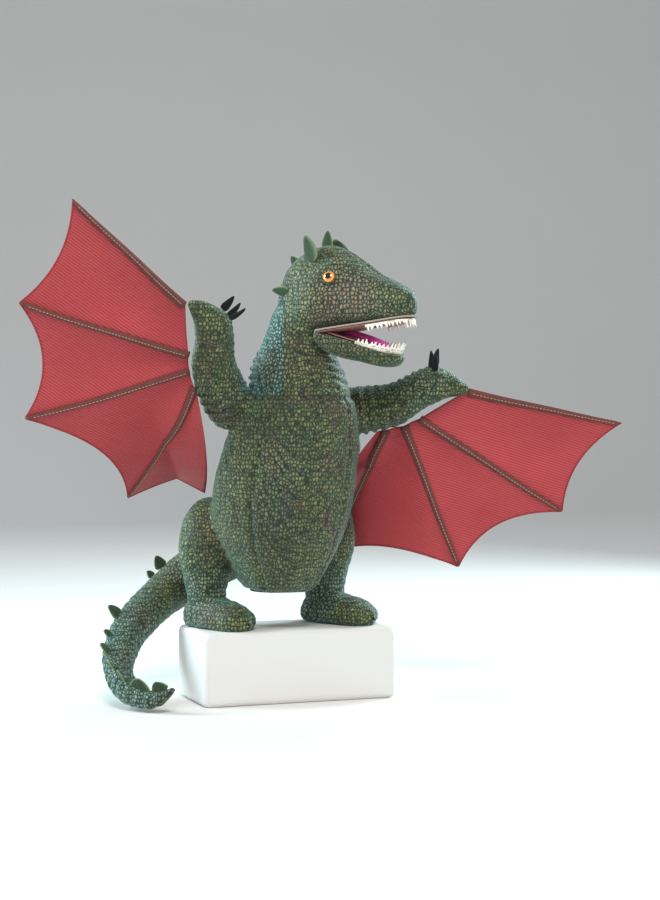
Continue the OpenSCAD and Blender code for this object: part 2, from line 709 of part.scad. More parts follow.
module leading_rib_right() leading_rib(-1);
module fan_ribs_left() fan_ribs(1);
module fan_ribs_right() fan_ribs(-1);
module rib_boning_left() rib_boning(1);
module rib_boning_right() rib_boning(-1);

// ---- legs -------------------------------------------------------------------------------

leg_y = 43;
hip_z = 28;
// direction in which each foot points about its ankle
function toe_dir(side) = side > 0 ? -58 : -66;
// stations down a leg: height, radius behind, reach in front, half width
leg_line = [
    [hip_z + 0.86 * thigh_r, 0.5 * thigh_r, 0.5 * thigh_r, 0.5 * thigh_r],
    [hip_z + 0.5 * thigh_r, 0.86 * thigh_r, 0.86 * thigh_r, 0.86 * thigh_r],
    [hip_z, thigh_r, thigh_r, thigh_r],
    [hip_z - 22, 0.94 * thigh_r, 0.94 * thigh_r, 0.94 * thigh_r],
    [12 - sole_drop + 18, 0.88 * thigh_r, 0.98 * thigh_r, 0.88 * thigh_r],
    [20 - sole_drop, 0.9 * thigh_r, 0.72 * toe_len, 0.92 * foot_half_w],
    [8 - sole_drop, 0.96 * thigh_r, toe_len, foot_half_w],
    [-sole_drop, 0.84 * thigh_r, 0.9 * toe_len, 0.88 * foot_half_w]];
function leg_rings(inset, a, b, lift) = [
    for (k = [0:12])
        let (p = spline(leg_line, a + (b - a) * k / 12))
        [for (i = [0:21])
            let (t = -360 * i / 22, c = cos(t), s = sin(t), x = (c > 0 ? p[2] : p[1]) - inset)
            [x * c, (p[3] - inset) * s, p[0] + lift]]];
module leg_frame(side) {
    translate([side * (belly_half_w - leg_inset), leg_y, 0])
        rotate([0, 0, toe_dir(side)])
            children();
}
module leg_skin(side) {
    color(scale_green)
        leg_frame(side)
            bag(leg_rings(0, 0, 1, 0), leg_rings(skin, 0, 1, skin));
}
module leg_stuffing(side) {
    color("#d9d4c8")
        leg_frame(side)
            loft(leg_rings(skin + 2.5 * gap, 0.13, 0.96, skin + 2.5 * gap));
}
module toe_claws(side) {
    color("#1d1d1f")
        leg_frame(side)
            for (i = [-1:1])
                translate([toe_len * (1 - 0.12 * abs(i)) + gap + 0.5, 0.6 * foot_half_w * i, 9 - sole_drop])
                    rotate([0, 90, 14 * i])
                        cylinder(h = 7, r1 = 2.4, r2 = 0.5, $fn = 16);
}
module leg_skin_left() leg_skin(1);
module leg_skin_right() leg_skin(-1);
module leg_stuffing_left() leg_stuffing(1);
module leg_stuffing_right() leg_stuffing(-1);
module toe_claws_left() toe_claws(1);
module toe_claws_right() toe_claws(-1);

// ---- tail -------------------------------------------------------------------------------

tail_root_y = belly_half_d + 12;
tail_joint = [-134, 104, -28];
tail_curl_gap = 1.5;    // room left between the two halves at the joint
curl_dir = unit([-24, -20, -17]);
function joint_end(way, far, r) = concat(tail_joint + way * curl_dir * far, [r]);
base_line = [
    [-13, tail_root_y, 46, tail_root_r], [-30, tail_root_y + 20, 38, 0.97 * tail_root_r],
    [-62, tail_root_y + 38, 18, 0.93 * tail_root_r], [-98, tail_root_y + 40, -6, 1.12 * tail_mid_r],
    joint_end(-1, tail_mid_r + tail_curl_gap, tail_mid_r),
    joint_end(-1, 0.5 * tail_mid_r, 0.84 * tail_mid_r), joint_end(-1, tail_curl_gap, 0.3 * tail_mid_r)];
tip_line = [
    joint_end(1, tail_curl_gap, 0.3 * tail_mid_r), joint_end(1, 0.5 * tail_mid_r, 0.84 * tail_mid_r),
    joint_end(1, tail_mid_r + tail_curl_gap, tail_mid_r), [-180, 62, -68, 0.86 * tail_mid_r],
    [-193, 28, -92, 0.72 * tail_mid_r], [-190, -8, -112, 0.62 * tail_mid_r],
    [-175, -35, -120, 0.5 * tail_mid_r], [-158, -51, -115, tail_tip_r], [-147, -61, -104, 0.6 * tail_tip_r]];

module tail_skin(line) {
    color(scale_green)
        bag(sweep(line, 18, 16, 0, 0, 1), sweep(line, 18, 16, skin, 0, 0.98));
}
module tail_stuffing(line) {
    color("#d9d4c8")
        loft(sweep(line, 14, 10, skin + 1.4, 0.03, 0.96));
}
module tail_base_skin() tail_skin(base_line);
module tail_tip_skin() tail_skin(tip_line);
module tail_base_stuffing() tail_stuffing(base_line);
module tail_tip_stuffing() tail_stuffing(tip_line);

// fins along the tail's upper, outer edge, a large one and a small one in turn
module tail_fins(line, a, b, count) {
    color(felt_green)
        for (i = [0:count - 1]) {
            t = a + (b - a) * i / (count - 1);
            p = spline(line, t);
            q = spline(line, min(1, t + 0.02));
            along = unit([q[0] - p[0], q[1] - p[1], q[2] - p[2]]);
            out = unit(cross(cross(along, [-0.5, 0.1, 0.85]), along));
            turn = cross(along, out);
            at = [p[0], p[1], p[2]] + out * (p[3] + 3 * gap);
            multmatrix([[along[0], turn[0], out[0], at[0]], [along[1], turn[1], out[1], at[1]],
                [along[2], turn[2], out[2], at[2]], [0, 0, 0, 1]])
                leaf((i % 2 == 0 ? 0.9 : 0.55) * fin_len * (1.1 - 0.5 * t),
                    (i % 2 == 0 ? 0.8 : 0.55) * fin_len, 3);
        }
}
module tail_base_fins() tail_fins(base_line, 0.2, 0.62, 4);
module tail_tip_fins() tail_fins(tip_line, 0.3, 0.92, 9);

belly_panel();
flank_panel_left();
flank_panel_right();
back_panel();
torso_padding();
hand_sleeve();
sleeve_cuff();
back_fins();
throat_panel();
nape_panel();
neck_sleeve();
neck_fins();
skull_cover();
snout_foam();
finger_pocket();
palate_board();
upper_mouth_lining();
upper_teeth();
eye_left();
eye_right();
eye_washers();
ear_left();
ear_right();
cheek_fins();
crest_fins();
jaw_cover();
jaw_board();
lower_mouth_lining();
thumb_pocket();
lower_teeth();
tongue();
arm_skin_left();
arm_stuffing_left();
hand_claws_left();
arm_skin_right();
arm_stuffing_right();
hand_claws_right();
wing_cloth_left();
leading_rib_left();
fan_ribs_left();
rib_boning_left();
wing_cloth_right();
leading_rib_right();
fan_ribs_right();
rib_boning_right();
leg_skin_left();
leg_stuffing_left();
toe_claws_left();
leg_skin_right();
leg_stuffing_right();
toe_claws_right();
tail_base_skin();
tail_base_stuffing();
tail_base_fins();
tail_tip_skin();
tail_tip_stuffing();
tail_tip_fins();
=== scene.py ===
import json
import math

import bpy
import numpy as np
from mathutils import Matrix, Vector, kdtree


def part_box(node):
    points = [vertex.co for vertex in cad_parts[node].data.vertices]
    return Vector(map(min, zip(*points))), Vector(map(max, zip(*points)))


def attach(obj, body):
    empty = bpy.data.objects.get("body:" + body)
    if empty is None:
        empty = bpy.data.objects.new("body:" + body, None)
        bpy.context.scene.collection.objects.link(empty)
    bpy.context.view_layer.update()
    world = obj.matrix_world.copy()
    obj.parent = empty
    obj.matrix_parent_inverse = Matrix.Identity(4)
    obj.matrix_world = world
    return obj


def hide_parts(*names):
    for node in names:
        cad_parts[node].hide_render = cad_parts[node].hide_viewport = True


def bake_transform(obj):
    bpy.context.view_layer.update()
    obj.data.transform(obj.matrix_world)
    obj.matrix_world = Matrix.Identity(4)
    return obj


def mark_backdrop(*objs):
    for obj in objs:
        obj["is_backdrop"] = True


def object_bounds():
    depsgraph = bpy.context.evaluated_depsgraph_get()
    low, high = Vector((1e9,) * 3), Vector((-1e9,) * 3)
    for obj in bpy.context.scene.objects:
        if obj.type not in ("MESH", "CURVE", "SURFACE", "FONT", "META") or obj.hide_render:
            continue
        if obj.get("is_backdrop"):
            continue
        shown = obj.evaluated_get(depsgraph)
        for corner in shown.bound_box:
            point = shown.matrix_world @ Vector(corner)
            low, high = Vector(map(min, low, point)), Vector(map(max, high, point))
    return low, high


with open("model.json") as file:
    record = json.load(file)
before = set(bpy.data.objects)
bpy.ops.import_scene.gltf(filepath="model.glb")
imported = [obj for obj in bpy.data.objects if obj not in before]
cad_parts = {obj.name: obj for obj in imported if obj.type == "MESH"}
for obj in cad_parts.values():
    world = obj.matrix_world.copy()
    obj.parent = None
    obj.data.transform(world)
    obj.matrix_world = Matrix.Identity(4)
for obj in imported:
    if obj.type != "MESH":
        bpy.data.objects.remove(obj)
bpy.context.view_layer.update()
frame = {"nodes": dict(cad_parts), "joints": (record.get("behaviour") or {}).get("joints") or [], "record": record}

# Looks of a winged dragon hand puppet: embossed scale fabric over soft stuffing, felt fins,
# ribbed red wings with boned casings, and a plush mouth with vinyl teeth.
# Metres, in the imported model's frame: the dragon faces -Y and its left side is +X.

JOINTS = {j["name"]: j for j in frame["joints"]}
RNG = np.random.default_rng(7)
MM = 0.001


def joint_pos(name):
    return np.array(JOINTS[name]["pos_m"], float)


def joint_axis(name):
    a = np.array(JOINTS[name]["axis"], float)
    return a / np.linalg.norm(a)


def lo(node):
    return np.array(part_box(node)[0], float)


def hi(node):
    return np.array(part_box(node)[1], float)


def unit(v):
    v = np.asarray(v, float)
    return v / max(np.linalg.norm(v), 1e-12)


# ---- curves, lofts and meshes --------------------------------------------------------------

def spline(stations, u):
    """Point at share u along a smooth curve through rows of numbers."""
    s = np.asarray(stations, float)
    n = len(s) - 1
    i = int(min(max(math.floor(u * n), 0), n - 1))
    t = u * n - i
    a, b, c, d = s[max(i - 1, 0)], s[i], s[i + 1], s[min(i + 2, n)]
    return (2 * b + (c - a) * t + (2 * a - 5 * b + 4 * c - d) * t * t
            + (3 * b - a - 3 * c + d) * t ** 3) / 2


def around(n):
    """n angles round a full turn."""
    return 2 * np.pi * np.arange(n) / n


def ring(centre, direction, radius, n, ref=(0, 0.2, 1), flat=1.0):
    d = unit(direction)
    u = unit(np.cross(ref, d))
    v = np.cross(d, u)
    a = around(n)
    return centre + radius * (np.outer(np.cos(a), u) + flat * np.outer(np.sin(a), v))


def sweep(stations, n, rows, start=0.0, end=1.0, ref=(0, 0.2, 1)):
    """Rings across a curve whose stations are x, y, z, radius."""
    rings = []
    for t in np.linspace(start, end, rows):
        p = spline(stations, t)
        ahead, behind = spline(stations, min(1, t + 0.01)), spline(stations, max(0, t - 0.01))
        rings.append(ring(p[:3], ahead[:3] - behind[:3], max(p[3], 0.0004), n, ref))
    return rings


def loft(rings):
    """Vertices and faces of a closed solid through rings."""
    n, rows = len(rings[0]), len(rings)
    verts = np.vstack(rings)
    faces = [(j * n + i, j * n + (i + 1) % n, (j + 1) * n + (i + 1) % n, (j + 1) * n + i)
             for j in range(rows - 1) for i in range(n)]
    faces.append(tuple(range(n - 1, -1, -1)))
    faces.append(tuple((rows - 1) * n + i for i in range(n)))
    return verts, faces


def ball(centre, radii, n=20, rows=12, turn=0.0):
    """Closed ellipsoid, turned about Z."""
    rings = []
    for k in range(1, rows):
        b = math.pi * k / rows
        a = around(n)
        rings.append(np.column_stack([radii[0] * np.cos(a) * math.sin(b),
                                      radii[1] * np.sin(a) * math.sin(b),
                                      np.full(n, -radii[2] * math.cos(b))]))
    c, s = math.cos(turn), math.sin(turn)
    rotate = np.array([[c, -s, 0], [s, c, 0], [0, 0, 1]])
    return loft([r @ rotate.T + centre for r in rings])


def new_mesh(name, verts, faces, smooth=True):
    mesh = bpy.data.meshes.new(name)
    mesh.from_pydata([tuple(map(float, v)) for v in verts], [], [tuple(map(int, f)) for f in faces])
    mesh.validate()
    mesh.update()
    if smooth:
        mesh.shade_smooth()
    obj = bpy.data.objects.new(name, mesh)
    bpy.context.scene.collection.objects.link(obj)
    return obj


def joined(parts):
    """One list of vertices and faces from several."""
    verts, faces, base = [], [], 0
    for v, f in parts:
        verts.append(np.asarray(v, float))
        faces.extend(tuple(i + base for i in face) for face in f)
        base += len(v)
    return np.vstack(verts), faces


def grid_faces(rows, cols):
    return [(i * cols + j, i * cols + j + 1, (i + 1) * cols + j + 1, (i + 1) * cols + j)
            for i in range(rows - 1) for j in range(cols - 1)]


def thickened(top, bottom):
    """Closed sheet between two grids of points, rows x cols x 3."""
    rows, cols = top.shape[:2]
    n = rows * cols
    faces = grid_faces(rows, cols)
    under = [tuple(n + i for i in reversed(f)) for f in faces]
    edge = ([(0, j) for j in range(cols)] + [(i, cols - 1) for i in range(1, rows)]
            + [(rows - 1, j) for j in range(cols - 2, -1, -1)] + [(i, 0) for i in range(rows - 2, 0, -1)])
    loop = [i * cols + j for i, j in edge]
    rim = [(loop[k], n + loop[k], n + loop[(k + 1) % len(loop)], loop[(k + 1) % len(loop)])
           for k in range(len(loop))]
    return np.vstack([top.reshape(-1, 3), bottom.reshape(-1, 3)]), faces + under + rim


def evaluated(obj):
    """Vertices and faces of an object with its modifiers applied; the object is removed."""
    deps = bpy.context.evaluated_depsgraph_get()
    mesh = obj.evaluated_get(deps).to_mesh()
    verts = np.array([v.co for v in mesh.vertices], float)
    faces = [tuple(p.vertices) for p in mesh.polygons]
    bpy.data.objects.remove(obj)
    return verts, faces


def remeshed(parts, voxel):
    """Union of closed solids as one even mesh."""
    obj = new_mesh("union_tmp", *joined(parts))
    mod = obj.modifiers.new("voxel", "REMESH")
    mod.mode = "VOXEL"
    mod.voxel_size = voxel
    mod.adaptivity = 0.0
    return evaluated(obj)


def edges_of(faces):
    pairs = {tuple(sorted((f[k], f[(k + 1) % len(f)]))) for f in faces for k in range(len(f))}
    return np.array(sorted(pairs))


def smoothed(verts, edges, rounds, amount=0.5):
    v = verts.copy()
    count = np.bincount(edges.ravel(), minlength=len(v))[:, None]
    for _ in range(rounds):
        total = np.zeros_like(v)
        np.add.at(total, edges[:, 0], v[edges[:, 1]])
        np.add.at(total, edges[:, 1], v[edges[:, 0]])
        v += amount * (total / np.maximum(count, 1) - v)
    return v


def normals_of(verts, faces):
    f = np.array([face[:4] if len(face) >= 4 else face + (face[0],) for face in faces])
    cross = np.cross(verts[f[:, 2]] - verts[f[:, 0]], verts[f[:, 3]] - verts[f[:, 1]])
    n = np.zeros_like(verts)
    for k in range(4):
        np.add.at(n, f[:, k], cross)
    return n / np.maximum(np.linalg.norm(n, axis=1)[:, None], 1e-12)


def value_noise(points, size, seed):
    """Smooth repeatable noise from -1 to 1 at a feature size."""
    p = points / size + seed * 17.31
    i = np.floor(p).astype(np.int64)
    f = p - i
    f = f * f * (3 - 2 * f)
    out = np.zeros(len(p))
    for dx in (0, 1):
        for dy in (0, 1):
            for dz in (0, 1):
                h = ((i[:, 0] + dx) * 73856093) ^ ((i[:, 1] + dy) * 19349663) ^ ((i[:, 2] + dz) * 83492791)
                h = (h * 2654435761 + seed * 97) & 0xFFFFFF
                w = (np.where(dx, f[:, 0], 1 - f[:, 0]) * np.where(dy, f[:, 1], 1 - f[:, 1])
                     * np.where(dz, f[:, 2], 1 - f[:, 2]))
                out += w * (h / 0x7FFFFF - 1)
    return out


def ease(x, a, b):
    t = np.clip((x - a) / (b - a), 0, 1)
    return t * t * (3 - 2 * t)


def line_distance(points, line):
    """Distance of each point to the nearest sample of a densely sampled line."""
    tree = kdtree.KDTree(len(line))
    for k, p in enumerate(line):
        tree.insert(p, k)
    tree.balance()
    return np.array([tree.find(p)[2] for p in points])


# ---- materials -----------------------------------------------------------------------------

class Nodes:
    """A material's node tree, with short ways to add and join nodes."""

    def __init__(self, name):
        self.material = bpy.data.materials.new(name)
        self.material.use_nodes = True
        self.tree = self.material.node_tree
        self.shader = self.tree.nodes["Principled BSDF"]

    def add(self, kind, **values):
        node = self.tree.nodes.new(kind)
        for key, value in values.items():
            if hasattr(node, key):
                setattr(node, key, value)
            else:
                node.inputs[key.replace("_", " ")].default_value = value
        return node

    def join(self, a, b):
        self.tree.links.new(a, b)

    def set(self, **values):
        for key, value in values.items():
            self.shader.inputs[key.replace("_", " ")].default_value = value

    def colour(self, socket):
        self.join(socket, self.shader.inputs["Base Color"])

    def relief(self, socket):
        self.join(socket, self.shader.inputs["Normal"])

    def rest(self):
        """Coordinates of the fabric at rest, so that a pattern stays put in every pose."""
        return self.add("ShaderNodeAttribute", attribute_name="rest").outputs["Vector"]

    def channels(self, socket):
        """Red, green and blue of a colour."""
        node = self.add("ShaderNodeSeparateColor")
        self.join(socket, node.inputs["Color"])
        return node.outputs

    def painted(self):
        """Channels of the piece's paint attribute: dye zones, and on some pieces painted rim light and painted
        shade.
        """
        return self.channels(self.add("ShaderNodeAttribute", attribute_name="paint").outputs["Color"])

    def noise(self, vector, scale, detail=3, rough=0.5):
        node = self.add("ShaderNodeTexNoise", Scale=scale, Detail=detail, Roughness=rough)
        self.join(vector, node.inputs["Vector"])
        return node.outputs["Fac"]

    def ramp(self, value, *stops):
        node = self.add("ShaderNodeValToRGB")
        ramp = node.color_ramp
        while len(ramp.elements) < len(stops):
            ramp.elements.new(0.5)
        for element, (position, colour) in zip(ramp.elements, stops):
            element.position = position
            element.color = (*colour, 1)
        self.join(value, node.inputs["Fac"])
        return node.outputs["Color"]

    def math(self, kind, a, b=None):
        node = self.add("ShaderNodeMath", operation=kind)
        for k, value in enumerate((a, b)):
            if value is None:
                continue
            if isinstance(value, (int, float)):
                node.inputs[k].default_value = value
            else:
                self.join(value, node.inputs[k])
        return node.outputs[0]

    def mix(self, factor, a, b, kind="MIX"):
        node = self.add("ShaderNodeMix", data_type="RGBA", blend_type=kind)
        for socket, value in ((node.inputs[0], factor), (node.inputs[6], a), (node.inputs[7], b)):
            if isinstance(value, (int, float)):
                socket.default_value = value
            elif isinstance(value, tuple):
                socket.default_value = (*value, 1)
            else:
                self.join(value, socket)
        return node.outputs[2]

    def bump(self, height, strength, distance, under=None):
        node = self.add("ShaderNodeBump", Strength=strength, Distance=distance)
        self.join(height, node.inputs["Height"])
        if under is not None:
            self.join(under, node.inputs["Normal"])
        return node.outputs["Normal"]


def shaded(colour, share):
    return tuple(min(1, c * share) for c in colour)


def scale_material(name, lights, darks, browns, cell=0.0036, sheen=0.32):
    """Embossed reptile-scale fabric: pillowed cells with a painted highlight on their tops, dark valleys, patches
    of other dye, and, from the paint attribute, painted turquoise rim light and painted underside shade.
    """
    m = Nodes(name)
    rest = m.rest()
    stretch = m.add("ShaderNodeMapping")
    stretch.inputs["Scale"].default_value = (1, 1, 0.72)
    wobble = m.add("ShaderNodeTexNoise", Scale=38.0, Detail=2.0)
    m.join(rest, wobble.inputs["Vector"])
    push = m.add("ShaderNodeMix", data_type="VECTOR")
    push.inputs[0].default_value = 0.004
    m.join(rest, push.inputs[4])
    m.join(wobble.outputs["Color"], push.inputs[5])
    m.join(push.outputs[1], stretch.inputs["Vector"])
    edge = m.add("ShaderNodeTexVoronoi", feature="DISTANCE_TO_EDGE", Scale=1 / cell, Randomness=0.62)
    cells = m.add("ShaderNodeTexVoronoi", feature="F1", Scale=1 / cell, Randomness=0.62)
    m.join(stretch.outputs["Vector"], edge.inputs["Vector"])
    m.join(stretch.outputs["Vector"], cells.inputs["Vector"])
    pillow = m.ramp(edge.outputs["Distance"], (0.05, (0, 0, 0)), (0.22, (0.62,) * 3), (0.5, (1,) * 3))
    zone = m.painted()
    patches = m.noise(rest, 22.0, 4, 0.6)
    mixed_colour = m.ramp(patches, (0.36, browns[0]), (0.45, lights[0]), (0.55, lights[1]), (0.66, browns[1]))
    per_cell = m.channels(cells.outputs["Color"])
    jitter = m.math("MULTIPLY", m.math("POWER", per_cell["Red"], 2.0), 0.7)
    mixed_colour = m.mix(jitter, mixed_colour, lights[2])
    # Red paint channel: painted turquoise rim light, brighter on the cell tops as a painted highlight; also used
    # for the random foil patches.
    rim_light_and_foil = m.mix(m.math("MULTIPLY", pillow, 0.8), (0.035, 0.13, 0.12), (0.3, 0.52, 0.5))
    mixed_colour = m.mix(zone["Red"], mixed_colour, rim_light_and_foil)
    blush = m.math("MULTIPLY", zone["Green"], m.math("ADD", 0.35, per_cell["Green"]))
    mixed_colour = m.mix(blush, mixed_colour, (0.34, 0.17, 0.12))
    # Blue paint channel darkens the colour: random dark blotches plus painted shade on the undersides.
    dark = m.math("MULTIPLY", zone["Blue"], m.noise(rest, 55.0, 3, 0.6))
    mixed_colour = m.mix(dark, mixed_colour, darks[0])
    # Painted highlight: a paler soft-light mix on the bulging cell tops.
    cell_top_highlight = m.mix(m.math("MULTIPLY", pillow, 0.45), mixed_colour, (0.5, 0.55, 0.42), "SOFT_LIGHT")
    colour = m.mix(pillow, darks[1], cell_top_highlight)
    m.colour(colour)
    rough = m.ramp(pillow, (0.0, (0.85,) * 3), (1.0, (0.44,) * 3))
    m.join(rough, m.shader.inputs["Roughness"])
    weave = m.noise(rest, 1400.0, 2, 0.5)
    fine = m.bump(weave, 0.25, 0.0002)
    m.relief(m.bump(pillow, 0.75, 0.0011, fine))
    m.set(Sheen_Weight=sheen, Sheen_Roughness=0.4, Sheen_Tint=(0.45, 0.9, 0.85, 1),
          Specular_IOR_Level=0.55, Coat_Weight=0.08, Coat_Roughness=0.35, Metallic=0.0)
    return m.material


def felt_material(name, colour, pale, rough=0.95):
    """Pressed felt: soft fibre noise and a paler cut edge where the attribute says so."""
    m = Nodes(name)
    rest = m.rest()
    fibre = m.noise(rest, 900.0, 5, 0.75)
    cloud = m.noise(rest, 60.0, 3, 0.5)
    body = m.mix(m.math("MULTIPLY", cloud, 0.8), shaded(colour, 0.72), shaded(colour, 1.35))
    body = m.mix(m.painted()["Red"], body, pale)
    m.colour(m.mix(fibre, body, shaded(colour, 0.6), "SOFT_LIGHT"))
    m.relief(m.bump(fibre, 0.6, 0.0006))
    m.set(Roughness=rough, Sheen_Weight=0.35, Sheen_Roughness=0.5, Sheen_Tint=(*pale, 1))
    return m.material


def plush_material(name, colour, glow, scale=1500.0):
    m = Nodes(name)
    rest = m.rest()
    nap = m.noise(rest, scale, 4, 0.7)
    cloud = m.noise(rest, 70.0, 3, 0.5)
    m.colour(m.mix(cloud, shaded(colour, 0.65), glow))
    m.relief(m.bump(nap, 0.5, 0.0005))
    m.set(Roughness=0.8, Sheen_Weight=0.6, Sheen_Roughness=0.35, Sheen_Tint=(*glow, 1))
    return m.material


def vinyl_material(name):
    m = Nodes(name)
    rest = m.rest()
    cloud = m.noise(rest, 160.0, 3, 0.55)
    m.join(m.ramp(cloud, (0.3, (0.62, 0.53, 0.4)), (0.5, (0.86, 0.82, 0.72)), (0.8, (0.93, 0.91, 0.86))),
           m.shader.inputs["Base Color"])
    m.relief(m.bump(m.noise(rest, 420.0, 3, 0.5), 0.25, 0.0004))
    m.set(Roughness=0.32, Coat_Weight=0.3, Coat_Roughness=0.2, Subsurface_Weight=0.15,
          Subsurface_Scale=0.002)
    return m.material


def faille_material(name, light, dark):
    """Ribbed wing cloth: fine cords across the panel, sheen between them."""
    m = Nodes(name)
    uv = m.add("ShaderNodeAttribute", attribute_name="weave")
    split = m.add("ShaderNodeSeparateXYZ")
    m.join(uv.outputs["Vector"], split.inputs["Vector"])
    cords = m.math("SINE", m.math("MULTIPLY", split.outputs["X"], 2 * math.pi / 0.0031))
    cords = m.math("ADD", m.math("MULTIPLY", cords, 0.5), 0.5)
    threads = m.math("SINE", m.math("MULTIPLY", split.outputs["Y"], 2 * math.pi / 0.0011))
    threads = m.math("ADD", m.math("MULTIPLY", threads, 0.5), 0.5)
    rest = m.rest()
    cloud = m.noise(rest, 14.0, 3, 0.5)
    slub = m.noise(rest, 240.0, 3, 0.6)
    colour = m.mix(cloud, dark, light)
    valleys = m.math("MULTIPLY", m.math("SUBTRACT", 1.0, cords), 0.62)
    shade = m.mix(valleys, colour, shaded(dark, 0.4))
    shade = m.mix(m.math("MULTIPLY", slub, 0.25), shade, light)
    shade = m.mix(m.painted()["Red"], shade, shaded(dark, 0.4))
    m.colour(shade)
    under = m.bump(threads, 0.2, 0.0002)
    m.relief(m.bump(cords, 0.6, 0.0006, under))
    m.set(Roughness=0.62, Sheen_Weight=0.35, Sheen_Roughness=0.3, Sheen_Tint=(1.0, 0.5, 0.45, 1),
          Specular_IOR_Level=0.4)
    return m.material


def woven_material(name, light, dark, pitch=0.0012):
    m = Nodes(name)
    rest = m.rest()
    split = m.add("ShaderNodeSeparateXYZ")
    m.join(rest, split.inputs["Vector"])
    waves = []
    for axis in ("X", "Z"):
        wave = m.math("SINE", m.math("MULTIPLY", split.outputs[axis], 2 * math.pi / pitch))
        waves.append(wave)
    weave = m.math("ADD", m.math("MULTIPLY", m.math("MULTIPLY", waves[0], waves[1]), 0.5), 0.5)
    cloud = m.noise(rest, 90.0, 3, 0.5)
    colour = m.mix(cloud, dark, light)
    m.colour(m.mix(m.math("MULTIPLY", weave, 0.35), colour, dark))
    m.relief(m.bump(weave, 0.45, 0.0003))
    m.set(Roughness=0.8, Sheen_Weight=0.3, Sheen_Tint=(*light, 1))
    return m.material


def plastic_material(name, colour, rough=0.4):
    m = Nodes(name)
    rest = m.rest()
    cloud = m.noise(rest, 200.0, 2, 0.5)
    m.colour(m.mix(cloud, shaded(colour, 0.85), colour))
    m.relief(m.bump(m.noise(rest, 900.0, 2, 0.5), 0.1, 0.0002))
    m.set(Roughness=rough)
    return m.material


def eye_material():
    """Safety eye: black pupil, amber iris with fine radial streaks, dark outer ring."""
    m = Nodes("eye_amber")
    polar = m.add("ShaderNodeAttribute", attribute_name="polar")
    split = m.add("ShaderNodeSeparateXYZ")
    m.join(polar.outputs["Vector"], split.inputs["Vector"])
    streak = m.add("ShaderNodeTexNoise", Scale=26.0, Detail=3.0)
    m.join(polar.outputs["Vector"], streak.inputs["Vector"])
    wander = m.math("MULTIPLY", m.math("SUBTRACT", streak.outputs["Fac"], 0.5), 0.05)
    radius = m.math("ADD", split.outputs["Z"], wander)
    pupil = (0.004, 0.004, 0.005)
    colour = m.ramp(radius, (0.0, pupil), (0.46, pupil), (0.5, (0.55, 0.12, 0.01)), (0.68, (0.9, 0.36, 0.03)),
                    (0.88, (0.85, 0.26, 0.02)), (0.96, (0.02, 0.01, 0.008)))
    m.colour(colour)
    m.relief(m.bump(streak.outputs["Fac"], 0.08, 0.0003))
    m.set(Roughness=0.12, Coat_Weight=1.0, Coat_Roughness=0.03)
    return m.material


def stage_material(colour, name):
    m = Nodes(name)
    coordinates = m.add("ShaderNodeTexCoord")
    cloud = m.noise(coordinates.outputs["Object"], 3.0, 3, 0.5)
    m.colour(m.mix(cloud, shaded(colour, 0.97), colour))
    m.set(Roughness=0.85)
    return m.material


GREEN = ((0.08, 0.11, 0.03), (0.165, 0.175, 0.035), (0.4, 0.41, 0.14))
BROWN = ((0.15, 0.065, 0.032), (0.055, 0.1, 0.045))
DARK = ((0.02, 0.016, 0.018), (0.007, 0.02, 0.01))
SCALES = scale_material("scale_fabric_look", GREEN, DARK, BROWN)
FELT = felt_material("fin_felt_look", (0.045, 0.085, 0.045), (0.26, 0.33, 0.17))
EAR_FELT = felt_material("ear_felt_look", (0.055, 0.085, 0.05), (0.24, 0.3, 0.2))
CLAW = felt_material("claw_felt_look", (0.008, 0.008, 0.01), (0.03, 0.03, 0.035))
WING = faille_material("wing_faille_look", (0.6, 0.075, 0.085), (0.4, 0.035, 0.045))
TAPE = woven_material("rib_tape_look", (0.19, 0.05, 0.042), (0.1, 0.026, 0.022), 0.0014)
THREAD = plush_material("thread_look", (0.42, 0.34, 0.22), (0.6, 0.5, 0.34), 4000.0)
LINING = woven_material("lining_look", (0.03, 0.03, 0.034), (0.012, 0.012, 0.014))
PALATE = plush_material("palate_look", (0.3, 0.12, 0.1), (0.4, 0.18, 0.15))
TONGUE = plush_material("tongue_look", (0.55, 0.03, 0.28), (0.75, 0.07, 0.42))
TEETH = vinyl_material("tooth_vinyl_look")
FIBRE = plush_material("fibre_look", (0.72, 0.7, 0.64), (0.85, 0.83, 0.78), 500.0)
BOARD = plastic_material("board_look", (0.35, 0.3, 0.24), 0.7)
NYLON = plastic_material("nylon_look", (0.75, 0.74, 0.7), 0.35)
EYE = eye_material()


def finish_piece(obj, material, body=None, paint=None, weave=None, polar=None):
    """Material, rest coordinates and paint for a piece, and the body it rides on."""
    mesh = obj.data
    mesh.materials.clear()
    mesh.materials.append(material)
    co = np.zeros(len(mesh.vertices) * 3)
    mesh.vertices.foreach_get("co", co)
    for name, data in (("rest", co), ("weave", weave), ("polar", polar)):
        if data is not None:
            layer = mesh.attributes.new(name, "FLOAT_VECTOR", "POINT")
            layer.data.foreach_set("vector", np.asarray(data, float).ravel())
    layer = mesh.attributes.new("paint", "FLOAT_COLOR", "POINT")
    rgba = np.zeros((len(mesh.vertices), 4))
    rgba[:, 3] = 1
    if paint is not None:
        rgba[:, :3] = paint
    layer.data.foreach_set("color", rgba.ravel())
    if body:
        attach(obj, body)
    return obj


# ---- the dragon's own axes -----------------------------------------------------------------

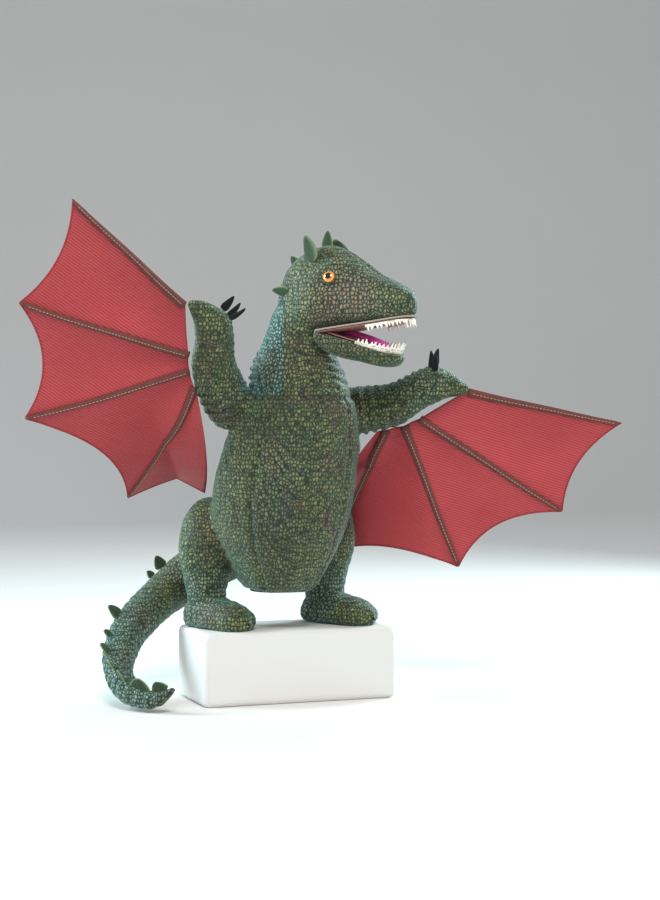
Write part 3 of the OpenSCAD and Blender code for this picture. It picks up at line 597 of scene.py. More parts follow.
HEAD = joint_pos("head_turn")
LEFT = joint_axis("jaw_hinge")
FRONT = unit(np.array([LEFT[1], -LEFT[0], 0]))
UP = np.array([0, 0, 1.0])
FLOOR_Z = lo("skull_cover")[2]          # level of the head's lower rim
HINGE = joint_pos("jaw_hinge")
JAW_OPEN = math.radians(17)
JAW_FRONT = FRONT * math.cos(JAW_OPEN) - UP * math.sin(JAW_OPEN)
JAW_UP = UP * math.cos(JAW_OPEN) + FRONT * math.sin(JAW_OPEN)
PALATE_RISE = math.radians(8)
PALATE_FRONT = FRONT * math.cos(PALATE_RISE) + UP * math.sin(PALATE_RISE)
PALATE_UP = UP * math.cos(PALATE_RISE) - FRONT * math.sin(PALATE_RISE)


def in_head(f, side, z):
    """Millimetres forward, to the left and above the head's rim, as a point."""
    return np.array([HEAD[0], HEAD[1], FLOOR_Z]) + (FRONT * f + LEFT * side + UP * z) * MM


def in_jaw(f, side, z):
    return HINGE + (JAW_FRONT * f + LEFT * side + JAW_UP * z) * MM


def in_palate(f, side, z):
    return HINGE + (PALATE_FRONT * f + LEFT * side + PALATE_UP * z) * MM


# ---- torso, neck and head solids ------------------------------------------------------------

base_z, top_z = lo("back_panel")[2], hi("back_panel")[2]
belly_w = hi("flank_panel_left")[0] - 0.002
neck_seam = joint_pos("neck_nod")
TORSO = [  # share of the lean, height, half width, half depth
    (0, -0.03, 0.38 * belly_w, 0.47 * belly_w), (0.03, 0.0, 0.52 * belly_w, 0.6 * belly_w),
    (0.07, 0.1, 0.68 * belly_w, 0.73 * belly_w), (0.11, 0.23, 0.86 * belly_w, 0.83 * belly_w),
    (0.17, 0.37, 0.98 * belly_w, 0.875 * belly_w), (0.34, 0.53, 1.0 * belly_w, 0.84 * belly_w),
    (0.6, 0.71, 0.96 * belly_w, 0.78 * belly_w), (0.84, 0.87, 0.885 * belly_w, 0.74 * belly_w),
    (1, 1.0, 0.71 * belly_w, 0.68 * belly_w), (1, 1.06, 0.55 * belly_w, 0.53 * belly_w)]


def torso_station(h):
    p = spline(TORSO, h * 8 / 9)
    lean, height, half_width, half_depth = p
    centre = np.array([lean * neck_seam[0], lean * neck_seam[1], base_z + height * (top_z - base_z)])
    return centre, half_width, half_depth


def torso_point(h, degrees, out=0.0):
    c, a, b = torso_station(h)
    t = math.radians(degrees)
    return c + np.array([(a + out) * math.cos(t), (b + out) * math.sin(t), 0])


def torso_solid():
    rings = []
    for h in np.linspace(0, 9 / 8, 44):
        c, a, b = torso_station(h)
        t = around(56)
        rings.append(c + np.column_stack([a * np.cos(t), b * np.sin(t), np.zeros(56)]))
    return loft(rings)


neck_top = HEAD
NECK = [  # x, y, z, radius
    (*(neck_seam + (0, 0.004, -0.03)), 0.05), (*(neck_seam + (0, 0, -0.004)), 0.0585),
    (*(neck_seam * (1, 1, 0) + (0, 0.001, neck_seam[2] + 0.02)), 0.0565),
    (*(neck_top * (1, 1, 0) + (-0.002, 0.004, neck_top[2] - 0.03)), 0.0475),
    (*(neck_top + (0.001, 0.001, 0)), 0.0405), (*(neck_top + (0.006, -0.008, 0.028)), 0.036)]


def neck_solid():
    rings = []
    for t in np.linspace(0, 1, 26):
        p = spline(NECK, t)
        a = around(40)
        rings.append(p[:3] + np.column_stack([p[3] * np.cos(a), p[3] * np.sin(a), np.zeros(40)]))
    return loft(rings)


SKULL = [  # forward, floor, crown, half width, squareness
    (-23, 22, 42, 9, 1.0), (-17, -6, 62, 26, 0.95), (-6, -16, 82, 33, 0.9), (14, -14, 94, 37.5, 0.85),
    (34, -4, 98, 40, 0.82), (52, 1, 98, 39.5, 0.8), (72, 4, 91, 36, 0.78), (92, 7, 78, 31, 0.74),
    (112, 10, 66, 27, 0.7), (132, 12.5, 57, 24.5, 0.66), (147, 15, 48, 20, 0.7), (155, 19, 42, 12, 0.8),
    (159, 26, 36, 4, 1.0)]


def skull_ring(t, n=48):
    f, low, high, width, square = spline(SKULL, t)
    a = around(n)
    mid, half = (low + high) / 2, (high - low) / 2
    top = np.sin(a) > 0
    power = np.where(top, square, 0.62)
    s = np.sign(np.cos(a)) * np.abs(np.cos(a)) ** np.where(top, square, 0.7)
    z = np.sign(np.sin(a)) * np.abs(np.sin(a)) ** power
    taper = np.where(top, 1 - 0.14 * np.abs(np.sin(a)) ** 2, 1.0)
    return np.array([in_head(f, width * sx * k, mid + half * zz) for sx, zz, k in zip(s, z, taper)])


def skull_solid():
    return loft([skull_ring(t)[::-1] for t in np.linspace(0, 1, 46)])


def nape_solid():
    """Fullness behind the neck that carries the nape's slanted line up to the crown."""
    line = [(-26, -78, 35), (-29, -56, 36), (-15, -20, 34), (2, 22, 31), (15, 46, 30), (30, 56, 27)]
    return loft(sweep([(*in_head(f, 0, z), r * MM) for f, z, r in line], 36, 26, ref=LEFT))


# ---- arms, legs and tail ---------------------------------------------------------------------

ARM_MIDDLE = {"left": -3, "right": 3}
ARM_SIDE = {"left": 1, "right": -1}
WING_SWEEP = math.radians(10)


def arm_axes(side):
    """Shoulder, and the directions along the arm, toward its back and up off its line."""
    e = joint_axis("wing_flap_" + side) * (1 if side == "left" else -1)
    b0 = unit(np.cross(np.cross(e, [0, 1, 0]), e))
    b0 = b0 * (1 if b0[1] > 0 else -1)
    n0 = np.cross(e, b0) * (1 if side == "left" else -1)
    n0 = n0 * (1 if n0[2] > 0 else -1)
    b = b0 * math.cos(WING_SWEEP) + n0 * math.sin(WING_SWEEP)
    n = n0 * math.cos(WING_SWEEP) - b0 * math.sin(WING_SWEEP)
    return joint_pos("arm_raise_" + side), e, b, n


def in_arm(side, s, back, up):
    p, e, b, n = arm_axes(side)
    return p + (e * s + b * back + n * up) * MM


def arm_solids(side):
    c = ARM_MIDDLE[side]
    line = [(-12, c - 5, 24), (16, c - 4, 29), (40, c - 4, 28), (60, c - 3, 26.5), (80, c + 3, 24),
            (100, c + 11, 23), (118, c + 13, 21), (134, c + 9, 15), (147, c + 3, 9), (156, 1, 4)]
    stations = [(*in_arm(side, s, 0, up), r * MM) for s, up, r in line]
    parts = [loft(sweep(stations, 32, 34, ref=arm_axes(side)[3]))]
    for k in (-1, 0, 1):
        knuckle = in_arm(side, 117 + 3 * abs(k), 10 * k, c + 24)
        parts.append(ball(knuckle, (0.0085, 0.0085, 0.0085)))
    parts.append(ball(in_arm(side, 112, 0, c + 17), (0.021, 0.019, 0.019)))
    return parts


TOE_TURN = {"left": math.radians(-58), "right": math.radians(-66)}


def leg_solids(side):
    hip = joint_pos("hip_" + side)
    sole = lo("leg_skin_" + side)[2]
    turn = TOE_TURN[side]
    forward = np.array([math.cos(turn), math.sin(turn), 0])
    across = np.array([-forward[1], forward[0], 0])
    sign = ARM_SIDE[side]

    def at(f, s, z):
        return np.array([hip[0], hip[1], sole]) + (forward * f + across * s + UP * z) * MM
    out = np.array([sign, 0, 0])
    thigh = [(*(hip + out * -0.012 + (0, -0.012, 0.082)), 0.012),
             (*(hip + out * -0.006 + (0, -0.01, 0.066)), 0.03),
             (*(hip + out * 0.001 + (0, -0.006, 0.034)), 0.035), (*hip, 0.0315),
             (*(hip + (0, 0, -0.03)), 0.0255), (*at(2, 0, 22), 0.0235), (*at(8, 0, 12), 0.02)]
    parts = [loft(sweep(thigh, 30, 26, ref=(1, 0.1, 0)))]
    foot = [(-29, 13, 8), (-23, 15, 17), (-4, 17, 22), (16, 15, 24), (38, 12.5, 23.5), (58, 11, 20),
            (69, 9.5, 13), (73, 9, 5)]
    rings = []
    for t in np.linspace(0, 1, 26):
        f, z, r = spline(foot, t)
        a = around(30)
        c, sn = np.cos(a), np.sin(a)
        across_foot = r * 1.16 * np.sign(c) * np.abs(c) ** np.where(sn < 0, 0.5, 1.0)
        height = np.where(sn > 0, r * 0.98 * sn, -(z + 0.8) * np.abs(sn) ** 0.5)
        rings.append(np.array([at(f, x, z + h) for x, h in zip(across_foot, height)]))
    parts.append(loft(rings[::-1]))
    for k in (-1, 0, 1):
        toe = at(63 - 7 * abs(k), 16 * k, 11)
        parts.append(ball(toe, (0.015, 0.0102, 0.0122), turn=turn - 0.16 * k))
    return parts


root, curl = joint_pos("tail_swing"), joint_pos("tail_curl")
CURL_DIR = unit([-24, -20, -17])  # along the tail where it curls
BACK_TO_CURL = [  # x, y, z from the tail's root, radius
    (0.004, -0.05, 0.006, 0.03), (0, -0.012, 0.002, 0.0355), (-0.017, 0.02, -0.008, 0.034),
    (-0.049, 0.038, -0.028, 0.0318), (-0.085, 0.04, -0.052, 0.0285)]
CURL_TO_TIP = [  # x, y, z from the curl, radius
    (0, 0, 0, 0.0258), (-0.024, -0.02, -0.018, 0.0243), (-0.046, -0.043, -0.04, 0.0218),
    (-0.059, -0.076, -0.064, 0.0183), (-0.056, -0.112, -0.084, 0.0155), (-0.041, -0.139, -0.092, 0.0125),
    (-0.025, -0.154, -0.087, 0.0085), (-0.013, -0.165, -0.076, 0.0035)]
TAIL = ([(*(root + row[:3]), row[3]) for row in BACK_TO_CURL]
        + [(*(curl + row[:3]), row[3]) for row in CURL_TO_TIP])


def tail_solid():
    return loft(sweep(TAIL, 30, 76, ref=(0.1, 0.1, 1)))


# ---- one skin, cut where the joints are ------------------------------------------------------

def seam_lines():
    """Sampled lines where panels are sewn together."""
    lines = []
    for degrees in (-132, -48, 58, 122, -90):
        low = 0.1 if degrees != -90 else 0.62
        lines.append([torso_point(h, degrees) for h in np.linspace(low, 1.0, 150)])
    lines.append([torso_point(0.995, a, 0.0005) for a in np.linspace(0, 360, 260)])
    for a in (math.radians(60), math.radians(160)):
        out = np.array([math.cos(a), math.sin(a), 0])
        stations = [spline(NECK, t) for t in np.linspace(0.22, 0.9, 120)]
        lines.append([p[:3] + p[3] * out for p in stations])
    for side in ("left", "right"):
        c = ARM_MIDDLE[side]
        lines.append([in_arm(side, s, -24, c - 6) for s in np.linspace(20, 140, 90)])
    return lines


def skull_seams():
    brow = [(46, 22, 93), (62, 24, 84), (84, 24.5, 68), (108, 22, 56), (130, 19, 45), (148, 15, 33)]
    points = [spline(brow, t) for t in np.linspace(0, 1, 120)]
    lines = [[in_head(f, side * s, z) for f, s, z in points] for side in (-1, 1)]
    lines.append([skull_ring(t)[12] for t in np.linspace(0.1, 0.7, 90)])
    return lines


def body_skin():
    """Union of all the stuffed solids: even mesh, sculpted, with sewn grooves."""
    parts = [torso_solid(), neck_solid(), nape_solid(), skull_solid(), tail_solid()]
    for side in ("left", "right"):
        parts += arm_solids(side) + leg_solids(side)
    voxel, rounds = ((0.0022, 9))
    verts, faces = remeshed(parts, voxel)
    verts = smoothed(verts, edges_of(faces), rounds)
    n = normals_of(verts, faces)
    shift = 0.0016 * value_noise(verts, 0.034, 3) + 0.0007 * value_noise(verts, 0.014, 5)
    for line in seam_lines():
        d = line_distance(verts, line)
        pucker = 1 + 0.45 * value_noise(verts, 0.009, 9)
        shift -= 0.0022 * pucker * np.exp(-(d / 0.0024) ** 2)
        shift += 0.0009 * np.exp(-((d - 0.008) / 0.005) ** 2)
    for line in skull_seams():
        d = line_distance(verts, line)
        shift -= 0.0015 * np.exp(-(d / 0.002) ** 2)
        shift += 0.0007 * np.exp(-((d - 0.006) / 0.004) ** 2)
    shift += head_sculpt(verts) + folds(verts)
    return verts + n * shift[:, None], faces


def bumps(verts, places):
    total = np.zeros(len(verts))
    for centre, size, height in places:
        d2 = ((verts - centre) ** 2).sum(axis=1)
        total += height * np.exp(-d2 / (2 * size * size))
    return total


def head_sculpt(verts):
    """Brows, eye sockets, cheeks, nostrils and the lift of the lip, as height over the skin."""
    places = []
    for side in (-1, 1):
        places += [(in_head(70, side * 33, 72), 0.008, 0.0035), (in_head(58, side * 35, 70), 0.008, 0.003),
                   (in_head(64, side * 38, 60), 0.0065, -0.0035), (in_head(40, side * 40, 32), 0.018, 0.003),
                   (in_head(152, side * 11, 40), 0.0032, -0.003), (in_head(147, side * 14, 46), 0.006, 0.002),
                   (in_head(100, side * 29, 24), 0.014, 0.002), (in_head(132, side * 25, 20), 0.009, 0.002)]
    places += [(in_head(118, 0, 66), 0.011, -0.002), (in_head(50, 0, 100), 0.016, 0.002)]
    return bumps(verts, places)


def folds(verts):
    """Soft creases where limbs bend: throat, elbows, armpits, ankles and the tail's root."""
    total = np.zeros(len(verts))
    ridges = [
        (neck_seam + (0.02, -0.05, 0.03), 0.035, (0.2, 0.1, 1.0), 0.011, 0.0012),
        (neck_seam + (-0.045, 0.03, 0.014), 0.024, (0.3, 0, 1.0), 0.010, 0.0022)]
    for side in ("left", "right"):
        c = ARM_MIDDLE[side]
        e = arm_axes(side)[1]
        hip = joint_pos("hip_" + side)
        inward = -ARM_SIDE[side]
        ridges += [(in_arm(side, 22, -10, c - 20), 0.03, e, 0.012, 0.0022),
                   (in_arm(side, 90, 0, c + 20), 0.022, e, 0.009, 0.0014),
                   (hip + (0, -0.01, -0.052), 0.02, (0, 0.3, 1), 0.008, 0.0013),
                   (hip + (0.02 * inward, -0.02, 0.02), 0.03, (-0.4 * inward, 0.3, 1), 0.013, 0.0016)]
    for k in range(5):
        p = spline(TAIL, 0.45 + 0.09 * k)[:3]
        ridges.append((p, 0.03, spline(TAIL, 0.5 + 0.09 * k)[:3] - p, 0.013, 0.0008))
    for centre, reach, along, pitch, height in ridges:
        rel = verts - centre
        near = np.exp(-(rel ** 2).sum(axis=1) / (2 * reach * reach))
        phase = rel @ unit(along) / pitch * 2 * np.pi + 1.3 * value_noise(verts, 0.02, 11)
        total += height * near * np.sin(phase)
    return total


def nape_rim_light(verts):
    """1 on the nape panel, where turquoise rim light from behind is painted in; the panel runs from the shoulders
    up behind the ears.
    """
    rel = verts - HEAD
    f, side, z = rel @ FRONT, rel @ LEFT, verts[:, 2]
    edge = 0.014 + 0.22 * np.clip(HEAD[2] - z, -0.02, 0.05) - 0.3 * np.clip(z - HEAD[2] - 0.02, 0, 0.1)
    behind = ease(-f - np.abs(side) * 0.28, -edge - 0.0025, -edge + 0.0025)
    from_neck = np.linalg.norm(verts[:, :2] - neck_seam[:2], axis=1)
    behind = behind * (1 - ease(from_neck, 0.075, 0.08))
    return behind * ease(z, neck_seam[2] - 0.004, neck_seam[2] - 0.001)


def spot(verts, centre, size):
    """1 at the centre, fading over a size."""
    return np.exp(-((verts - centre) ** 2).sum(axis=1) / (2 * size ** 2))


def from_hips(points):
    """Distance of each point to the nearer hip, seen from above."""
    hips = [joint_pos("hip_left"), joint_pos("hip_right")]
    return np.minimum(*[np.hypot(points[:, 0] - h[0], points[:, 1] - h[1]) for h in hips])


def skin_paint(verts, n):
    """Paint zones: red is painted turquoise rim light on the nape, tail and shins plus random foil patches, green
    is warm blush, blue is dark blotches plus painted shade on downward-facing surfaces.
    """
    paint = np.zeros((len(verts), 3))
    z = verts[:, 2]
    patches = 0.22 * ease(value_noise(verts, 0.06, 21), 0.1, 0.7)
    # Painted turquoise rim light on the tail's far -X part and on the shins.
    tail = 0.65 * ease(-verts[:, 0], 0.1, 0.2) * (z < 0)
    shin_rim_light = 0.4 * (from_hips(verts) < 0.045) * ease(-z, -0.05, 0.0)
    paint[:, 0] = np.maximum.reduce([nape_rim_light(verts), patches, tail, shin_rim_light])
    cheek = np.maximum(*[spot(verts, in_head(84, s * 32, 36), 0.026) for s in (-1, 1)])
    paint[:, 1] = np.clip(0.9 * cheek + 0.4 * ease(value_noise(verts, 0.05, 31), 0.15, 0.8), 0, 1)
    belly = spot(verts, torso_point(0.42, -112), 0.035)
    chest = spot(verts, torso_point(0.9, -125), 0.03)
    # Painted shade: a darker blue channel on surfaces that face downward.
    underside_shade = ease(-(n @ UP), 0.55, 0.95)
    soil = ease(value_noise(verts, 0.045, 41), 0.3, 0.9)
    paint[:, 2] = np.clip(0.9 * belly + 0.7 * chest + 0.5 * underside_shade + 0.35 * soil, 0, 1)
    return paint


def skin_regions(centres):
    """Name of the cut piece each face centre belongs to."""
    name = np.full(len(centres), "torso", dtype="U12")
    z = centres[:, 2]
    axis_d = np.hypot(centres[:, 0] - neck_seam[0], centres[:, 1] - neck_seam[1])
    name[(z > neck_seam[2] - 0.006) & (axis_d < 0.085)] = "neck"
    name[(z > HEAD[2] - 0.016) & (axis_d < 0.25)] = "head"
    for side in ("left", "right"):
        p, e, _, n = arm_axes(side)
        outward = ARM_SIDE[side] * centres[:, 0]
        rel = centres - (p + e * 0.02 + n * ARM_MIDDLE[side] * MM)
        s = rel @ e
        off = np.linalg.norm(rel - np.outer(s, e), axis=1)
        name[(s > -0.012) & (off < 0.046) & (outward > 0.05)] = "arm_" + side
        hip = joint_pos("hip_" + side)
        d = np.hypot(centres[:, 0] - hip[0], centres[:, 1] - hip[1] + 0.008)
        near = (d < 0.056) & (z < 0.075) & (outward > 0.049)
        name[near | ((z < -0.004) & (outward > 0) & (centres[:, 1] < 0.09))] = "leg_" + side
    tail = (centres[:, 1] > root[1] - 0.018) & (z < root[2] + 0.05) & (np.abs(centres[:, 0] + 0.02) < 0.3)
    tail |= (centres[:, 0] < -0.115) & (z < 0.02)
    name[tail & (from_hips(centres) > 0.034)] = "tail_base"
    along = (centres - curl) @ CURL_DIR
    name[(name == "tail_base") & ((along > -0.02) | (centres[:, 0] < curl[0] - 0.02))] = "tail_tip"
    return name


BLENDS = {  # piece: bodies it would bend between, and where that bend would start and end; only the keys are read, and these pieces are left in place unattached
    "neck": ("torso", "neck", neck_seam + (0, 0, -0.006), neck_seam + (0, 0, 0.022)),
    "head": ("neck", "head", HEAD + (0, 0, -0.016), HEAD + (0, 0, 0.012)),
    "arm_left": ("torso", "arm_left", in_arm("left", 6, 0, 0), in_arm("left", 48, 0, 0)),
    "arm_right": ("torso", "arm_right", in_arm("right", 8, 0, 0), in_arm("right", 50, 0, 0)),
    "tail_base": ("torso", "tail_base", root + (0.004, -0.016, 0.002), root + (-0.017, 0.024, -0.01)),
    "tail_tip": ("tail_base", "tail_tip", curl - CURL_DIR * 0.02, curl + CURL_DIR * 0.02)}
for limb in ("left", "right"):
    hip_at = joint_pos("hip_" + limb)
    BLENDS["leg_" + limb] = ("torso", "leg_" + limb, hip_at + (0, 0, 0.045), hip_at + (0, 0, -0.02))
STANDS_FOR = {
    "torso": ["belly_panel", "flank_panel_left", "flank_panel_right", "back_panel", "torso_padding"],
    "neck": ["throat_panel", "nape_panel"], "head": ["skull_cover", "snout_foam"],
    "arm_left": ["arm_skin_left", "arm_stuffing_left"], "arm_right": ["arm_skin_right", "arm_stuffing_right"],
    "leg_left": ["leg_skin_left", "leg_stuffing_left"], "leg_right": ["leg_skin_right", "leg_stuffing_right"],
    "tail_base": ["tail_base_skin", "tail_base_stuffing"], "tail_tip": ["tail_tip_skin", "tail_tip_stuffing"]}


def make_skins():
    verts, faces = body_skin()
    n = normals_of(verts, faces)
    paint = skin_paint(verts, n)
    quads = np.array([f for f in faces if len(f) == 4])
    names = skin_regions(verts[quads].mean(axis=1))
    for name in STANDS_FOR:
        keep = quads[names == name]
        used, inverse = np.unique(keep.ravel(), return_inverse=True)
        obj = new_mesh("skin_" + name, verts[used], inverse.reshape(-1, 4))
        finish_piece(obj, SCALES, paint=paint[used])
        obj.data.normals_split_custom_set_from_vertices([tuple(x) for x in n[used]])
        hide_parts(*STANDS_FOR[name])
        if name in BLENDS:
            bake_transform(obj)
        else:
            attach(obj, name)


# ---- jaw and mouth -----------------------------------------------------------------------------

JAW = [  # forward, half width, depth
    (-4, 33, 15), (8, 35, 21), (24, 33.5, 23.5), (45, 29, 22.5), (66, 25, 19.5), (84, 22, 17.5),
    (95, 17, 14.5), (101, 8, 9), (103, 3, 6)]


def jaw_half(f):
    """Half width of the jaw at a distance from its hinge."""
    rows = np.array(JAW)
    return np.interp(f, rows[:, 0], rows[:, 1])


def jaw_piece():
    rings = []
    for t in np.linspace(0, 1, 40):
        f, width, depth = spline(JAW, t)
        a = around(40)
        c, s = np.cos(a), np.sin(a)
        side = width * np.sign(c) * np.abs(c) ** 0.75
        z = np.where(s > 0, 1.4 * np.abs(s) ** 0.5, -depth * np.abs(s) ** 0.8)
        rings.append(np.array([in_jaw(f, x, y) for x, y in zip(side, z)]))
    verts, faces = remeshed([loft(rings)], 0.0018)
    verts = smoothed(verts, edges_of(faces), 5)
    n = normals_of(verts, faces)
    shift = 0.0012 * value_noise(verts, 0.022, 51) + 0.0005 * value_noise(verts, 0.009, 52)
    for side in (-1, 1):
        line = [in_jaw(f, side * jaw_half(f) * 0.8, -16 + 0.03 * f) for f in np.linspace(8, 92, 100)]
        shift -= 0.0014 * np.exp(-(line_distance(verts, line) / 0.002) ** 2)
    verts = verts + n * shift[:, None]
    paint = np.zeros((len(verts), 3))
    paint[:, 1] = 0.35 * ease(value_noise(verts, 0.03, 61), 0, 0.6)
    paint[:, 2] = 0.25
    obj = new_mesh("skin_jaw", verts, faces)
    finish_piece(obj, SCALES, "jaw", paint)
    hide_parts("jaw_cover")


def lining_sheet(name, place, half, f0, f1, lift, crown, body, node):
    """Plush panel across the mouth, dished between the lips."""
    rows, cols = 34, 22
    top = np.zeros((rows, cols, 3))
    for i, f in enumerate(np.linspace(f0, f1, rows)):
        for j, u in enumerate(np.linspace(-1, 1, cols)):
            round_end = math.sqrt(max(0.02, 1 - max(0, (f - f1 + 10) / 10.5) ** 2))
            top[i, j] = place(f, u * half(f) * round_end, lift + crown * (u * u - 0.6))
    direction = unit(np.cross(top[1, 0] - top[0, 0], top[0, 1] - top[0, 0]))
    verts, faces = thickened(top, top + direction * 0.0009)
    obj = new_mesh(name, verts, faces)
    finish_piece(obj, PALATE, body)
    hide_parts(node)


def tooth(root_at, tip_at, width, thick, out):
    """Pointed vinyl tooth, broad at the root and flattened across the lip."""
    root_at, tip_at = np.asarray(root_at), np.asarray(tip_at)
    along = tip_at - root_at
    across = unit(np.cross(along, out))
    deep = unit(np.cross(across, along))
    rings = []
    for t in np.linspace(0, 1, 6):
        k = (1 - t) ** 0.8 * 0.5 + 0.02
        c = root_at + along * t + unit(out) * 0.0006 * t * t
        a = around(8)
        rings.append(c + np.outer(np.cos(a), across) * width * k + np.outer(np.sin(a), deep) * thick * k)
    return loft(rings)


def tooth_row(name, node, body, outline, up, root_z, band, length, place, count):
    """Vinyl band along the lip with uneven pointed teeth, outline from one cheek round to the other."""
    parts = []
    steps = 120
    top = np.zeros((steps, 2, 3))
    bottom = np.zeros((steps, 2, 3))
    for k in range(steps):
        t = k / (steps - 1)
        f, s = outline(t)
        rise = band(t) * up
        inward = np.array([f, s]) - np.array([1.2, 1.2 * np.sign(s)]) * np.array([0.5, 1])
        for r, z in enumerate((0, rise)):
            top[k, r] = place(f, s, root_z + z)
            bottom[k, r] = place(inward[0], inward[1], root_z + z)
    parts.append(thickened(top, bottom) if up < 0 else thickened(bottom, top))
    for k in range(count):
        t = (k + 0.5 + RNG.uniform(-0.16, 0.16)) / count
        f, s = outline(t)
        tall = length(t) * RNG.uniform(0.72, 1.25)
        lean = RNG.uniform(-1.2, 1.2)
        start = place(f - 0.4, s * 0.985, root_z + band(t) * up * 0.7)
        tip = place(f + lean, s * 1.01, root_z + (band(t) + tall) * up)
        centre = place(60, 0, root_z)
        parts.append(tooth(start, tip, 0.0045 * RNG.uniform(0.85, 1.2), 0.0026, start - centre))
    obj = new_mesh(name, *joined(parts))
    finish_piece(obj, TEETH, body)
    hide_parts(node)


def palate_half(f):
    rows = np.array(SKULL)
    return np.interp(f + 44, rows[:, 0], rows[:, 3]) - 3.2


def mouth():
    lining_sheet("palate_panel", in_palate, palate_half, 2, 108, -1.9, 1.5, "head", "upper_mouth_lining")
    lining_sheet("jaw_panel", in_jaw, lambda f: jaw_half(f) - 3.0, 4, 97, 2.3, 1.2, "jaw",
                 "lower_mouth_lining")

    def across_lip(t, a, limit, near, wide, power):
        """Distance from the middle line, brought in round the front."""
        off = min(limit, near * (1 - (1 - a) ** power) + wide * a)
        return np.sign(2 * t - 1) * off * min(1, 6 * a + 0.02)

    def upper(t):
        a = abs(2 * t - 1)
        f = 112 - 50 * a ** 1.7
        return f, across_lip(t, a, palate_half(f) - 0.2, 21, 6, 2.2)

    def lower(t):
        a = abs(2 * t - 1)
        f = 98.5 - 48 * a ** 1.6
        return f, across_lip(t, a, jaw_half(f) - 1.5, 20, 8, 2.4)

    tooth_row("upper_tooth_row", "upper_teeth", "head", upper, -1, -1.0,
              lambda t: 2.2 + 1.2 * abs(2 * t - 1),
              lambda t: 4.6 + 3.2 * (abs(2 * t - 1) < 0.25), in_palate, 26)
    tooth_row("lower_tooth_row", "lower_teeth", "jaw", lower, 1, 0.6,
              lambda t: 8.5 - 5.5 * abs(2 * t - 1) ** 1.2,
              lambda t: 4.4 + 1.5 * (abs(2 * t - 1) < 0.3), in_jaw, 24)
    tongue()


def tongue():
    line = [(14, 5, 5.5), (30, 7, 8.5), (50, 7.5, 9.5), (68, 7, 8.5), (80, 6, 5.5), (86, 5.2, 1.5)]
    rings = []
    for t in np.linspace(0, 1, 40):
        f, z, r = spline(line, t)
        a = around(28)
        dip = 1.3 * np.exp(-(np.cos(a) * r / 2.2) ** 2) * (np.sin(a) > 0)
        rings.append(np.array([in_jaw(f, r * math.cos(k), z + 0.42 * r * math.sin(k) - q)
                               for k, q in zip(a, dip)]))
    obj = new_mesh("tongue_plush", *loft(rings[::-1]))
    finish_piece(obj, TONGUE, "jaw")
    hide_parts("tongue")


# ---- felt leaves: fins, ears and claws ----------------------------------------------------------

def islands(node):
    """Vertices of each separate solid of a CAD node."""
    mesh = frame["nodes"][node].data
    verts = np.array([v.co for v in mesh.vertices], float)
    keys = {}
    merged = np.array([keys.setdefault(tuple(np.round(v, 6)), len(keys)) for v in verts])
    parent = list(range(len(keys)))

    def find(x):
        while parent[x] != x:
            parent[x] = parent[parent[x]]
            x = parent[x]
        return x
    for p in mesh.polygons:
        ids = [find(merged[i]) for i in p.vertices]
        for i in ids[1:]:
            parent[find(i)] = find(ids[0])
    groups = {}
    for i, m in enumerate(merged):
        groups.setdefault(find(m), []).append(i)
    return [verts[g] for g in groups.values()]


def leaf_frame(points, outward):
    """Root, tip direction, width direction and size of a CAD leaf."""
    rel = points - points.mean(axis=0)
    _, vectors = np.linalg.eigh(rel.T @ rel)
    thin = vectors[:, 0]
    along = unit(np.asarray(outward) - thin * (np.asarray(outward) @ thin))
    across = np.cross(along, thin)
    s, w = rel @ along, rel @ across
    base = points.mean(axis=0) + along * s.min()
    return base, along, across, thin, s.max() - s.min(), w.max() - w.min()


def leaf(base, along, across, thin, length, width,
         hook=0.0, cup=0.0, thick=0.0018, fold=0.0, spread=1.0):
    """Felt leaf with a midrib, a curved tip and a thick cut edge; returns mesh parts and paint."""
    rows, cols = 16, 11
    top = np.zeros((rows, cols, 3))
    edge = np.zeros((rows, cols))
    for i, t in enumerate(np.linspace(0, 1, rows)):
        taper = min(1, 0.62 + 1.9 * t) * (1 - t) ** 0.72 * (1 + 0.5 * t) * 1.05
        half = 0.5 * spread * width * taper + 0.0002
        for j, u in enumerate(np.linspace(-1, 1, cols)):
            top[i, j] = (base + along * (length * t - 0.0015) + across * (half * u + hook * t * t)
                         + thin * (cup * (u * u - 0.4) * math.sin(math.pi * t) + fold * t * t
                                   - 0.0005 * math.exp(-(u / 0.22) ** 2)))
            edge[i, j] = max(ease(abs(u), 0.72, 0.95), ease(t, 0.88, 1.0))
    verts, faces = thickened(top + thin * thick / 2, top - thin * thick / 2)
    colour = np.zeros((len(verts), 3))
    colour[:, 0] = np.concatenate([edge.ravel(), edge.ravel()])
    return verts, faces, colour


def leaf_piece(name, node, body, outward, material, slot, **shape):
    """All the leaves of one CAD node as one piece; outward says which way a leaf at a point grows."""
    parts, paints = [], []
    for points in islands(node):
        verts, faces, colour = leaf(*leaf_frame(points, outward(points.mean(axis=0))), **shape)
        parts.append((verts, faces))
        paints.append(colour)
    obj = new_mesh(name, *joined(parts))
    finish_piece(obj, material, body, np.vstack(paints))
    smooth_edges(obj)
    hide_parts(node)


def smooth_edges(obj):
    mod = obj.modifiers.new("round", "SUBSURF")
    mod.levels = mod.render_levels = 1


def tail_axis_out(p):
    line = np.array([spline(TAIL, t)[:3] for t in np.linspace(0.1, 1, 120)])
    k = int(np.argmin(((line - p) ** 2).sum(axis=1)))
    return p - line[k]


